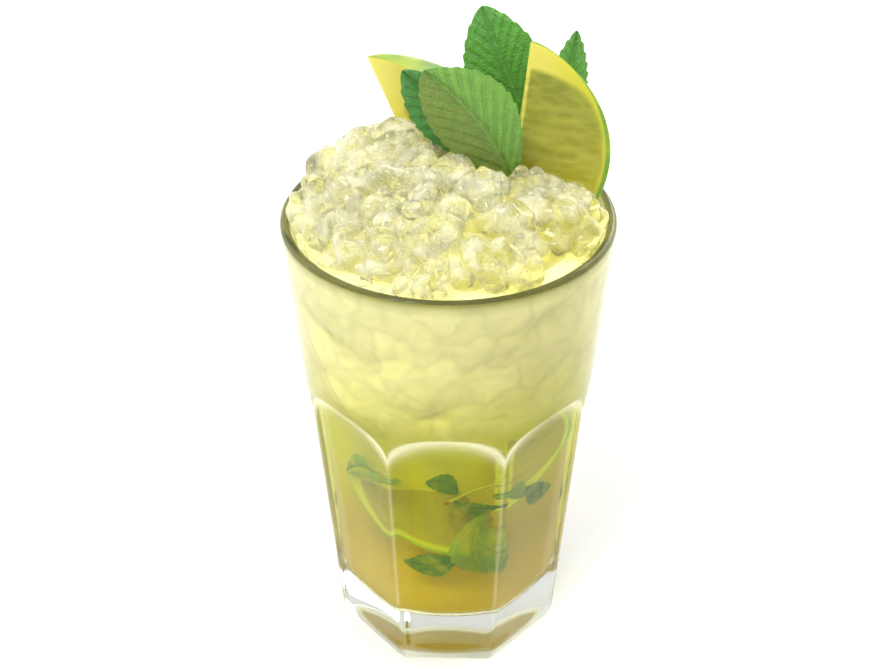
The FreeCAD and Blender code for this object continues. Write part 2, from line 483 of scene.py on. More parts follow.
@dataclass(frozen=True)
class ClearGlass:
    """Polished pressed glass, faintly green, with a painted dark lip and painted edge highlights.
    """

    refraction: float = 1.52
    tint: Colour = rgb(254, 255, 253)
    shadow_tint: Colour = rgb(250, 252, 246)
    # Painted shade: the dark olive given to the lip, standing in for the dark that the rim
    # refracts.
    lip_painted_shade: Colour = rgb(142, 148, 100)
    gloss: Colour = rgb(116, 116, 116)
    gloss_wet: Colour = rgb(40, 40, 40)
    # Painted highlight: the pale colour mixed in along the arches and ridges.
    edge_highlight: Colour = rgb(250, 246, 206)
    edge_highlight_share: float = 0.72
    body: Colour = (0.60, 0.63, 0.56, 1.0)
    density: float = 11.0

    def material(self) -> bpy.types.Material:
        """Makes the glass.

        Returns:
            The material.
        """
        shader = Shader("clear_glass")
        place = shader.place()
        ripple = shader.noise(place, 16 * MM, 1)
        # The lip mark turns the base colour dark olive: a painted dark rim.
        dry, wet = (
            shader.principled(
                Base_Color=shader.blend(shader.attribute("lip"), self.tint, self.lip_painted_shade),
                Roughness=0.0,
                IOR=self.refraction,
                Transmission_Weight=1.0,
                Normal=shader.bump(ripple, 0.15 * MM, 0.3),
                Specular_Tint=gloss,
            )
            for gloss in (self.gloss, self.gloss_wet)
        )
        glass = shader.mixed(shader.attribute("wet"), dry, wet)
        # A pale shader mixed in where the pressed mark is: painted highlights along the arches and
        # ridges.
        painted_highlight = shader.principled(Base_Color=self.edge_highlight, Roughness=0.3)
        uneven = 0.75 + shader.noise(place, 9 * MM, 2) * 0.5
        glass = shader.mixed(shader.attribute("pressed") * uneven * self.edge_highlight_share, glass, painted_highlight)
        inside = shader.absorbing(self.body, self.density)
        return shader.finish(shader.lit_through(glass, self.shadow_tint), inside)


@dataclass(frozen=True)
class CloudyLiquid:
    """The liquid against the wall: clear enough to see what is sunk in it, with drifting haze."""

    refraction: float = 1.333
    tint: Colour = rgb(253, 252, 244)
    shadow_tint: Colour = rgb(252, 251, 240)
    haze_high: Colour = rgb(240, 237, 196)
    haze_middle: Colour = rgb(176, 184, 56)
    haze_low: Colour = rgb(170, 164, 38)
    haze_bottom: Colour = rgb(180, 158, 36)
    haze_least: float = 0.06
    haze_added: float = 0.16
    haze_uneven: float = 0.14
    drift: float = 16.0 * MM
    gloss: Colour = rgb(40, 40, 40)
    body: Colour = (0.88, 0.88, 0.10, 1.0)
    density: float = 90.0

    def material(self, bottom: float, top: float) -> bpy.types.Material:
        """Makes the liquid.

        Args:
            bottom: The height of the glass's floor.
            top: The height of the liquid's surface.

        Returns:
            The material.
        """
        shader = Shader("cloudy_liquid")
        height = shader.attribute("height")
        place = shader.place()
        drift = shader.noise(shader.stretched(place, (1, 1, 0.6)), 14 * MM, 4, twist=0.6)
        level = height + (drift - 0.5) * self.drift
        share = (level - bottom) / (top - bottom)
        colour = shader.node(
            "ValToRGB",
            {
                "stops": [
                    (0.0, self.haze_bottom), (0.3, self.haze_low), (0.5, self.haze_middle),
                    (0.8, self.haze_high),
                ]
            },
            {"Fac": share},
        )
        cloudy = shader.principled(
            Base_Color=colour, Roughness=0.6, IOR=self.refraction, Specular_IOR_Level=0.0
        )
        clear = shader.principled(
            Base_Color=self.tint,
            Roughness=0.0,
            IOR=self.refraction,
            Transmission_Weight=1.0,
            Specular_Tint=self.gloss,
        )
        high = shader.step(share, 0.45, 0.75)
        haze = self.haze_least + self.haze_added * high + (drift - 0.5) * self.haze_uneven
        surface = shader.mixed(haze, clear, cloudy)
        inside = shader.absorbing(self.body, self.density)
        return shader.finish(shader.lit_through(surface, self.shadow_tint), inside)


@dataclass(frozen=True)
class CloudyCore:
    """The murky body of the drink behind the clear layer, graded from amber up to cream."""

    amber: Colour = rgb(188, 162, 26)
    olive: Colour = rgb(202, 191, 42)
    green: Colour = rgb(210, 208, 64)
    lime: Colour = rgb(230, 222, 116)
    cream: Colour = rgb(246, 238, 182)
    pale: Colour = rgb(248, 242, 204)
    glow: float = 0.29
    glow_below: float = 1.2
    tilt: float = 0.24
    swirl: float = 14.0 * MM
    chip: float = 11.0 * MM
    crumb: float = 5.5 * MM
    chip_gap_shade: float = 0.09
    crumb_gap_shade: float = 0.05
    chip_contrast: float = 0.14
    let_through: float = 0.5
    light_passed: Colour = rgb(236, 226, 150)

    def material(self, bottom: float, top: float) -> bpy.types.Material:
        """Makes the body of the drink.

        Args:
            bottom: The height of the glass's floor.
            top: The height of the liquid's surface.

        Returns:
            The material.
        """
        shader = Shader("cloudy_core")
        place = shader.place()
        swirl = shader.noise(shader.stretched(place, (1, 1, 0.7)), 18 * MM, 4, twist=1.0)
        fine = shader.noise(place, 4 * MM, 3)
        height = shader.attribute("height")
        aside = shader.node("SeparateXYZ", values={"Vector": place}, output="X")
        level = height - aside * self.tilt + (swirl - 0.5) * self.swirl
        share = (level - bottom) / (top - bottom)
        stops = [
            (0.0, self.amber), (0.2, self.amber), (0.38, self.olive), (0.54, self.green),
            (0.66, self.lime), (0.82, self.cream), (1.0, self.pale),
        ]
        colour = shader.node("ValToRGB", {"stops": stops}, {"Fac": share})
        relief = shader.attribute("relief")
        bent = shader.node(
            "VectorMath",
            {"operation": "ADD"},
            {"Vector": place, "Vector_001": self._wander(shader, place)},
        )
        chips = shader.cells(bent, self.chip, "DISTANCE_TO_EDGE")
        crumbs = shader.cells(bent, self.crumb, "DISTANCE_TO_EDGE")
        icy = shader.step(share, 0.5, 0.68)
        gap_shade = (1 - shader.step(chips, 0.0, 0.16)) * self.chip_gap_shade
        gap_shade = gap_shade + (1 - shader.step(crumbs, 0.0, 0.2)) * self.crumb_gap_shade
        patches = shader.node(
            "TexVoronoi", values={"Vector": bent, "Scale": 1 / self.chip}, output="Color"
        )
        shade_of_chip = shader.node("SeparateColor", values={"Color": patches})
        # Painted shade: the tone darkens in the creases between the ice lumps, by the relief, and
        # along the gaps between the chips.
        tone = 0.8 + 0.2 * relief + (fine - 0.5) * 0.08 - gap_shade * icy
        tone = tone + (shade_of_chip - 0.5) * self.chip_contrast * icy
        # The emission is a painted glow, standing in for light scattered through the cloudy drink.
        surface = shader.principled(
            Base_Color=shader.shade(colour, tone),
            Roughness=0.6,
            Specular_IOR_Level=0.0,
            Emission_Color=shader.shade(colour, tone * self._lift(shader, height, bottom)),
            Emission_Strength=self.glow,
        )
        open_way = shader.node("BsdfTransparent", values={"Color": self.light_passed})
        passing = shader.node("LightPath", output="Is Shadow Ray") * self.let_through
        return shader.finish(shader.mixed(passing, surface, open_way))

    def _lift(self, shader: Shader, height: Link, bottom: float) -> Link:
        """Gives the boost to the underside's painted glow, standing in for light the base gathers.

        Args:
            shader: The material being made.
            height: The height on the body.
            bottom: The height of the glass's floor.

        Returns:
            A factor of 1 or more.
        """
        return 1 + self.glow_below * (1 - shader.step(height, bottom + 1 * MM, bottom + 5 * MM))

    @staticmethod
    def _wander(shader: Shader, place: Link) -> Link:
        """Gives a small shift that varies over the body, to bend the outlines of the ice.

        Args:
            shader: The material being made.
            place: Where on the body.

        Returns:
            The shift.
        """
        drift = shader.node(
            "TexNoise", values={"Vector": place, "Scale": 1 / (7 * MM)}, output="Color"
        )
        centred = shader.node(
            "VectorMath", {"operation": "SUBTRACT"}, {"Vector": drift, "Vector_001": (0.5,) * 3}
        )
        return shader.stretched(centred, (7 * MM,) * 3)


@dataclass(frozen=True)
class CrushedIce:
    """Wet ice: clear at its edges and cloudy inside, with the drink's staining lower down and
    painted shade on its right.
    """

    clear: Colour = rgb(250, 250, 240)
    cloud: Colour = rgb(234, 232, 210)
    stain_and_shade_colour: Colour = rgb(196, 189, 104)
    cloudiness: float = 0.2

    def material(self, name: str, cloudiness: float) -> bpy.types.Material:
        """Makes the ice.

        Args:
            name: The material's name.
            cloudiness: The share of it that isn't clear, from 0 to 1.

        Returns:
            The material.
        """
        shader = Shader(name)
        place = shader.place()
        patches = shader.noise(place, 12 * MM, 3)
        frost = shader.noise(place, 5 * MM, 3, twist=0.5)
        # This mark mixes the drink's staining with painted shade on the right.
        stain_and_shade = shader.step(shader.attribute("stain_and_shade") + (patches - 0.5) * 0.8, 0.3, 1.0)
        ripple = shader.bump(shader.noise(place, 3.5 * MM, 2), 0.3 * MM, 0.5)
        white = shader.principled(
            Base_Color=shader.blend(stain_and_shade, self.cloud, self.stain_and_shade_colour),
            Roughness=0.2,
            IOR=1.31,
            Coat_Weight=0.8,
            Coat_Roughness=0.04,
            Normal=ripple,
            Subsurface_Weight=0.5,
            Subsurface_Radius=(1.0, 0.9, 0.6),
            Subsurface_Scale=3 * MM,
        )
        clear = shader.principled(
            Base_Color=self.clear, Roughness=0.03, IOR=1.31, Transmission_Weight=1.0, Normal=ripple
        )
        share = cloudiness + (frost - 0.5) * 1.1
        surface = shader.mixed(shader.step(share, 0.0, 0.8), clear, white)
        return shader.finish(shader.lit_through(surface, self.clear))


@dataclass(frozen=True)
class LimeFlesh:
    """A cut lime: green rind, pale pith and juicy flesh, told apart by attributes."""

    rind: Colour = rgb(112, 156, 50)
    rind_light: Colour = rgb(150, 178, 52)
    pith: Colour = rgb(206, 204, 58)
    pith_pale: Colour = rgb(228, 218, 98)
    flesh: Colour = rgb(154, 156, 42)
    flesh_dark: Colour = rgb(134, 140, 38)
    flesh_light: Colour = rgb(188, 186, 72)
    ripe: Colour = rgb(190, 178, 44)
    gloss: float = 0.5
    # Painted glow, for pieces sunk in the drink, standing in for light scattered through it.
    glow: float = 0.0

    def material(self, name: str) -> bpy.types.Material:
        """Makes the lime.

        Args:
            name: The material's name.

        Returns:
            The material.
        """
        shader = Shader(name)
        depth = shader.attribute("depth")
        core = shader.attribute("core")
        flesh_edge = shader.attribute("flesh")
        vesicle = shader.attribute("vesicle", output="Vector")
        wander = shader.noise(vesicle, 3.0, 2)
        cells = shader.cells(vesicle, 1.0)
        walls = shader.step(cells, 0.25, 0.65)
        tone = shader.noise(vesicle, 5.0, 3)
        juicy = shader.blend(shader.step(tone, 0.35, 0.65), self.flesh_dark, self.flesh)
        juicy = shader.blend(walls * 0.3, juicy, self.flesh_light)
        juicy = shader.blend(shader.attribute("ripe") * 0.75, juicy, self.ripe)
        pale = shader.blend(shader.step(core, 2 * MM, 14 * MM), self.pith_pale, self.pith)
        inside = shader.step(flesh_edge + (wander - 0.5) * 0.06, -0.03, 0.05)
        spine = shader.step(
            shader.attribute("beside_core") + (wander - 0.5) * 0.4, 0.6, 1.4
        )
        fruit = shader.blend(inside * spine, pale, juicy)
        skin_tone = shader.noise(shader.place(), 7 * MM, 3)
        skin = shader.blend(shader.step(skin_tone, 0.4, 0.7), self.rind, self.rind_light)
        colour = shader.blend(shader.step(depth, 0.9 * MM, 1.7 * MM), skin, fruit)
        pores = shader.cells(shader.place(), 1.3 * MM)
        on_rind = 1 - shader.step(depth, 0.05 * MM, 0.2 * MM)
        height = cells * inside * 0.6 + shader.step(pores, 0.1, 0.45) * on_rind
        surface = shader.principled(
            Base_Color=colour,
            Roughness=0.32 + 0.15 * inside,
            Specular_IOR_Level=self.gloss,
            Emission_Color=colour,
            Emission_Strength=self.glow,
            Normal=shader.bump(height, 0.3 * MM, 0.7),
            Subsurface_Weight=0.35,
            Subsurface_Radius=(1.0, 0.9, 0.2),
            Subsurface_Scale=2.5 * MM,
        )
        return shader.finish(surface)


@dataclass(frozen=True)
class MintBlade:
    """A fresh leaf, paler on its veins, with painted light and shade on its halves and hollows."""

    name: str
    left_half: Colour
    right_half: Colour
    vein: Colour
    shadow: Colour
    gloss: float = 0.5
    # Painted glow, for leaves sunk in the drink, standing in for light scattered through it.
    glow: float = 0.0
    soaked: float = 0.0
    soak: Colour = rgb(186, 182, 44)

    def material(self) -> bpy.types.Material:
        """Makes the leaf.

        Returns:
            The material.
        """
        shader = Shader(self.name)
        side = shader.attribute("side")
        vein = shader.attribute("vein")
        hollow = shader.attribute("hollow")
        place = shader.place()
        mottle = shader.noise(place, 2.2 * MM, 4)
        # Painted light and shade: the halves can differ, and the hollows darken towards the shadow
        # colour.
        green = shader.blend(shader.step(side, -0.12, 0.12), self.left_half, self.right_half)
        green = shader.blend(hollow * 0.75, green, self.shadow)
        green = shader.blend(vein * 0.55, green, self.vein)
        bruises = shader.step(shader.noise(place, 6 * MM, 3, twist=0.5), 0.42, 0.62)
        green = shader.blend(bruises * self.soaked, green, self.soak)
        net = shader.cells(place, 1.1 * MM, "DISTANCE_TO_EDGE")
        tone = 0.9 + (mottle - 0.5) * 0.35 + shader.step(net, 0.0, 0.12) * 0.08
        surface = shader.principled(
            Base_Color=shader.shade(green, tone),
            Emission_Color=shader.shade(green, tone),
            Emission_Strength=self.glow,
            Roughness=0.5 + (mottle - 0.5) * 0.2,
            Specular_IOR_Level=self.gloss,
            Normal=shader.bump(shader.step(net, 0.0, 0.3), 0.12 * MM, 0.7),
            Subsurface_Weight=0.15,
            Subsurface_Radius=(0.6, 1.0, 0.2),
            Subsurface_Scale=1 * MM,
        )
        return shader.finish(surface)


@dataclass(frozen=True)
class PaleFloor:
    """The studio's matt floor."""

    colour: Colour = rgb(246, 246, 245)

    def material(self) -> bpy.types.Material:
        """Makes the floor, with a grain too fine and faint to draw the eye.

        Returns:
            The material.
        """
        shader = Shader("pale_floor")
        grain = shader.noise(shader.place(), 30 * MM, 2)
        surface = shader.principled(
            Base_Color=shader.shade(self.colour, 0.99 + grain * 0.02),
            Roughness=0.9,
            Specular_IOR_Level=0.1,
        )
        return shader.finish(surface)


# ---------------------------------------------------------------------------------------- tumbler


@dataclass
class Tumbler:
    """The glass: a round lip, eight flat panels with arched tops and an octagonal foot."""

    height: float
    lip_radius: float
    lip_thickness: float = 2.6 * MM
    panels: int = 8
    panel_turn: float = -1.1
    foot_apothem: float = 32.6 * MM
    arch_foot: float = 84.0 * MM
    arch_apothem: float = 36.9 * MM
    arch_rise: float = 9.6 * MM
    arch_ramp: float = 2.4 * MM
    ridge_softness: float = 70.0
    heel_height: float = 3.0 * MM
    heel_inset: float = 0.8 * MM
    foot_rounding: float = 0.9 * MM
    floor_height: float = 17.5 * MM
    floor_fillet: float = 5.0 * MM
    floor_wall_radius: float = 29.6 * MM
    waist_radius: float = 34.6 * MM
    punt_radius: float = 25.0 * MM
    punt_depth: float = 0.8 * MM
    directions: int = 400
    glass: ClearGlass = field(default_factory=ClearGlass)

    @property
    def lip_inside(self) -> float:
        """The radius inside the lip."""
        return self.lip_radius - self.lip_thickness

    @property
    def lip_height(self) -> float:
        """The height at which the lip starts to round over."""
        return self.height - self.lip_thickness / 2

    def cone_radius(self, height: Array) -> Array:
        """Gives the round body's radius, which the ridges between panels just reach.

        Args:
            height: Heights.

        Returns:
            The radii.
        """
        corner = 1 / math.cos(math.pi / self.panels)
        heights = [0.0, self.arch_foot, self.lip_height]
        radii = [self.foot_apothem * corner, self.arch_apothem * corner, self.lip_radius]
        return np.interp(height, heights, radii)

    def panel_radius(self, height: Array, turn: Array) -> Array:
        """Gives the distance from the axis to the panels, whose ridges are slightly rounded.

        Args:
            height: Heights, as an array.
            turn: Directions in radians, as an array of the same shape.

        Returns:
            The distances.
        """
        slope = (self.arch_apothem - self.foot_apothem) / self.arch_foot
        apothem = self.foot_apothem + slope * height
        heel = np.clip(1 - height / self.heel_height, 0, 1)
        apothem = apothem - self.heel_inset * heel
        total = np.zeros_like(turn)
        for panel in range(self.panels):
            facing = math.radians(-90 + self.panel_turn) + panel * FULL_TURN / self.panels
            reach = np.maximum(np.cos(turn - facing), 0.0) / apothem
            total += reach ** self.ridge_softness
        return total ** (-1 / self.ridge_softness)

    def arch_height(self, turn: Array) -> Array:
        """Gives the height of the panels' arched tops in each direction.

        Args:
            turn: Directions in radians.

        Returns:
            The heights.
        """
        pitch = FULL_TURN / self.panels
        start = math.radians(-90 + self.panel_turn)
        offset = (turn - start + pitch / 2) % pitch - pitch / 2
        across = np.tan(offset) / math.tan(pitch / 2)
        return self.arch_foot + self.arch_rise * np.sqrt(np.clip(1 - across ** 2, 0, 1))

    def outer_radius(self, height: Array, turn: Array) -> Array:
        """Gives the outside's radius: panels below the arches, the round body above them."""
        above = np.clip((height - self.arch_height(turn)) / self.arch_ramp + 0.5, 0.0, 1.0)
        panel = np.minimum(self.panel_radius(height, turn), self.cone_radius(height))
        return panel + (self.cone_radius(height) - panel) * above

    def inner_radius(self, height: Array) -> Array:
        """Gives the cavity's radius above the floor's rounded corner.

        Args:
            height: Heights.

        Returns:
            The radii.
        """
        wall_foot = self.floor_height + self.floor_fillet
        share = np.clip((height - wall_foot) / (self.lip_height - wall_foot), 0, 1)
        waist = (self.arch_foot - wall_foot) / (self.lip_height - wall_foot)
        straight = self.floor_wall_radius + (self.lip_inside - self.floor_wall_radius) * share
        bow = self.waist_radius - (
            self.floor_wall_radius + (self.lip_inside - self.floor_wall_radius) * waist
        )
        return straight + bow * share * (1 - share) / (waist * (1 - waist))

    def cavity_outline(self, top: float, grow: float, rings: int = 60) -> tuple[Array, Array]:
        """Traces the cavity from the floor's middle up its wall.

        Args:
            top: The height to stop at.
            grow: How far outside the cavity to stay.
            rings: How many points the wall has.

        Returns:
            The radii and the heights.
        """
        corner = np.linspace(0, math.pi / 2, 14)
        middle = self.floor_wall_radius - self.floor_fillet
        reach = self.floor_fillet + grow
        radii = [np.array([0.02, 0.3, 0.6, 0.85]) * middle, middle + reach * np.sin(corner)]
        centre = self.floor_height + self.floor_fillet
        heights = [np.full(4, self.floor_height - grow), centre - reach * np.cos(corner)]
        wall = np.linspace(centre, top, rings)[1:]
        radii.append(self.inner_radius(wall) + grow)
        heights.append(wall)
        return np.concatenate(radii), np.concatenate(heights)

    def build(self) -> bpy.types.Object:
        """Builds and dresses the glass.

        Returns:
            The piece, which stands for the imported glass.
        """
        turn = np.linspace(0, FULL_TURN, self.directions, endpoint=False)
        arches = np.linspace(self.arch_foot - 4 * MM, self.arch_foot + 15 * MM, 72)
        below = np.linspace(self.foot_rounding, self.arch_foot - 4 * MM, 26)[:-1]
        above = np.linspace(self.arch_foot + 15 * MM, self.lip_height, 14)[1:]
        heights = np.concatenate([below, arches, above])
        level, around = np.meshgrid(heights, turn, indexing="ij")
        outside = self.outer_radius(level, around)
        foot_radii, foot_heights = self._foot(turn, outside[0])
        lip = np.linspace(0, math.pi, 11)[1:-1]
        lip_middle = self.lip_radius - self.lip_thickness / 2
        lip_radii = lip_middle + self.lip_thickness / 2 * np.cos(lip)
        lip_heights = self.lip_height + self.lip_thickness / 2 * np.sin(lip)
        wall_radii, wall_heights = self.cavity_outline(self.lip_height, 0.0)
        inner_radii = np.concatenate([lip_radii, wall_radii[::-1]])
        inner_heights = np.concatenate([lip_heights, wall_heights[::-1]])
        ones = np.ones_like(turn)
        radii = np.concatenate([foot_radii, outside, inner_radii[:, None] * ones])
        tall = np.concatenate([foot_heights, level, inner_heights[:, None] * ones])
        points, faces = lathe(radii, tall, self.directions)
        piece = new_object(
            "glass_tumbler", points, faces, self.glass.material(), self._marks(points)
        )
        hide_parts("glass")
        return piece

    def _marks(self, points: Array) -> dict[str, Array]:
        """Works out where the lip's painted dark rim and the pressed edges' painted highlights go.

        Args:
            points: The glass's vertices.

        Returns:
            The attributes by name.
        """
        height = points[:, 2]
        turn = np.arctan2(points[:, 1], points[:, 0])
        reach = np.hypot(points[:, 0], points[:, 1])
        outside = reach > self.inner_radius(height) + 0.4 * self.lip_thickness
        above = (height - self.arch_height(turn)) / self.arch_ramp
        # The arch and ridge marks place painted highlights along the pressed edges.
        arch = np.exp(-(((above + 0.25) / np.where(above > -0.25, 0.5, 1.3)) ** 2))
        pitch = FULL_TURN / self.panels
        start = math.radians(-90 + self.panel_turn)
        offset = (turn - start) % pitch - pitch / 2
        ridge = np.exp(-((offset * reach / (0.5 * MM)) ** 2)) * smooth(0.0, -3.0, above)
        ridge = 0.35 * ridge * smooth(4 * MM, 30 * MM, height)
        edge = np.where(outside, np.maximum(arch, ridge), 0.0)
        # Where the painted dark rim goes: along the lip, inside and out.
        lip = smooth(self.lip_height - 0.6 * MM, self.lip_height + 0.3 * MM, height)
        level = smooth(self.lip_height + 0.2 * MM, self.lip_height - 0.4 * MM, height)
        wet = np.where(outside, 0.0, level)
        return {"pressed": edge, "lip": lip, "wet": wet}

    def _foot(self, turn: Array, edge: Array) -> tuple[Array, Array]:
        """Shapes the underside, from the middle of its shallow hollow to its rounded edge.

        Args:
            turn: The directions.
            edge: The outside's radius in each direction, just above the rounding.

        Returns:
            The radii and the heights.
        """
        ones = np.ones_like(turn)
        radii, heights = [], []
        for share in np.linspace(0.02, 1.0, 8):
            radii.append(share * self.punt_radius * ones)
            heights.append(self.punt_depth * (1 - share ** 2) * ones)
        inset = edge - self.foot_rounding
        for share in (0.35, 0.7, 1.0):
            radii.append(self.punt_radius + (inset - self.punt_radius) * share)
            heights.append(0.0 * ones)
        for corner in np.linspace(0, math.pi / 2, 6)[1:-1]:
            radii.append(inset + self.foot_rounding * math.sin(corner))
            heights.append(self.foot_rounding * (1 - math.cos(corner)) * ones)
        return np.array(radii), np.array(heights)


# ------------------------------------------------------------------------------------------ drink


@dataclass
class Drink:
    """The drink: a clear, hazy layer against the wall over a murky body with ice in it."""

    tumbler: Tumbler
    surface_height: float
    into_wall: float = 0.2 * MM
    layer_high: float = 1.2 * MM
    layer_low: float = 9.0 * MM
    layer_aside: float = 3.0 * MM
    layer_bottom: float = 1.5 * MM
    core_below: float = 1.0 * MM
    ice_from: float = 72.0 * MM
    ice_full: float = 95.0 * MM
    lump_count: int = 260
    lump_size: float = 11.0 * MM
    lump_depth: float = 2.2 * MM
    directions: int = 320
    liquid: CloudyLiquid = field(default_factory=CloudyLiquid)
    murk: CloudyCore = field(default_factory=CloudyCore)

    def build(self) -> list[bpy.types.Object]:
        """Builds and dresses the drink.

        Returns:
            The clear layer and the murky body.
        """
        return [self._build_liquid(), self._build_core()]

    def _capped(self, radii: Array, heights: Array) -> tuple[Array, Array]:
        """Closes an outline over its top with rings that shrink to the axis."""
        cap = np.array([0.97, 0.8, 0.5, 0.2, 0.02])
        over = np.concatenate([radii, radii[-1] * cap])
        return over, np.concatenate([heights, np.full(len(cap), heights[-1])])

    def _build_liquid(self) -> bpy.types.Object:
        """Builds the liquid out to just inside the wall.

        Returns:
            The piece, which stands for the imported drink.
        """
        radii, heights = self.tumbler.cavity_outline(self.surface_height, self.into_wall)
        radii, heights = self._capped(radii, heights)
        ones = np.ones(self.directions)
        points, faces = lathe(radii[:, None] * ones, heights[:, None] * ones, self.directions)
        floor = self.tumbler.floor_height
        piece = new_object(
            "drink_liquid",
            points,
            faces,
            self.liquid.material(floor, self.surface_height),
            {"height": points[:, 2]},
        )
        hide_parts("drink")
        return piece

    def _depth(self, height: Array, turn: Array) -> Array:
        """Gives how far the murky body stays behind the liquid's surface.

        Args:
            height: Heights.
            turn: Directions in radians, of the same shape.

        Returns:
            The depths: more at the front, where the garnish lies.
        """
        floor = self.tumbler.floor_height
        low = smooth(floor + 4 * MM, floor + 26 * MM, height)
        high = smooth(74 * MM, 98 * MM, height)
        front = smooth(0.1, 0.75, -np.sin(turn))
        deep = self.layer_aside + (self.layer_low - self.layer_aside) * front
        depth = self.layer_bottom + (deep - self.layer_bottom) * low
        return depth + (self.layer_high - depth) * high

    def _build_core(self) -> bpy.types.Object:
        """Builds the murky body, with lumps of ice showing as relief in its upper part.

        Returns:
            The piece.
        """
        top = self.surface_height - self.core_below
        radii, heights = self.tumbler.cavity_outline(top, 0.0, rings=150)
        heights = np.maximum(heights, self.tumbler.floor_height + self.layer_bottom)
        radii, heights = self._capped(radii, heights)
        turn = np.linspace(0, FULL_TURN, self.directions, endpoint=False)
        ring, around = np.meshgrid(radii, turn, indexing="ij")
        level = heights[:, None] * np.ones_like(ring)
        ring = ring - self._depth(level, around) * smooth(0.0, 20 * MM, ring)
        places = np.stack([ring * np.cos(around), ring * np.sin(around), level], axis=-1)
        relief = self._lumps(places)
        share = smooth(self.ice_from, self.ice_full, level) * smooth(0.0, 6 * MM, ring - 12 * MM)
        share = share * smooth(self.surface_height - 3 * MM, self.surface_height - 12 * MM, level)
        ring = ring - self.lump_depth * (1 - relief) * share
        points, faces = lathe(ring, level, self.directions)
        relief = np.concatenate([(1 - (1 - relief) * share).ravel(), [1.0, 1.0]])
        floor = self.tumbler.floor_height
        piece = new_object(
            "drink_murk",
            points,
            faces,
            self.murk.material(floor, self.surface_height),
            {"height": points[:, 2], "relief": relief},
        )
        return piece

    def _lumps(self, places: Array) -> Array:
        """Gives a height from 0 between lumps to 1 on them, from the nearest of scattered centres.

        Args:
            places: Points on the body's surface.

        Returns:
            One value for each point.
        """
        source = np.random.default_rng(21)
        count = self.lump_count
        turn = source.uniform(0, FULL_TURN, count)
        height = source.uniform(66 * MM, self.surface_height + 6 * MM, count)
        radius = self.tumbler.inner_radius(height) - source.uniform(0, 3 * MM, count)
        centres = np.stack([radius * np.cos(turn), radius * np.sin(turn), height], axis=-1)
        reach = source.uniform(0.55, 1.1, count) * self.lump_size
        best = np.zeros(places.shape[:-1])
        for centre, size in zip(centres, reach):
            away = np.linalg.norm(places - centre, axis=-1) / size
            best = np.maximum(best, np.sqrt(np.clip(1 - away ** 2, 0, 1)))
        return best


# -------------------------------------------------------------------------------------------- ice


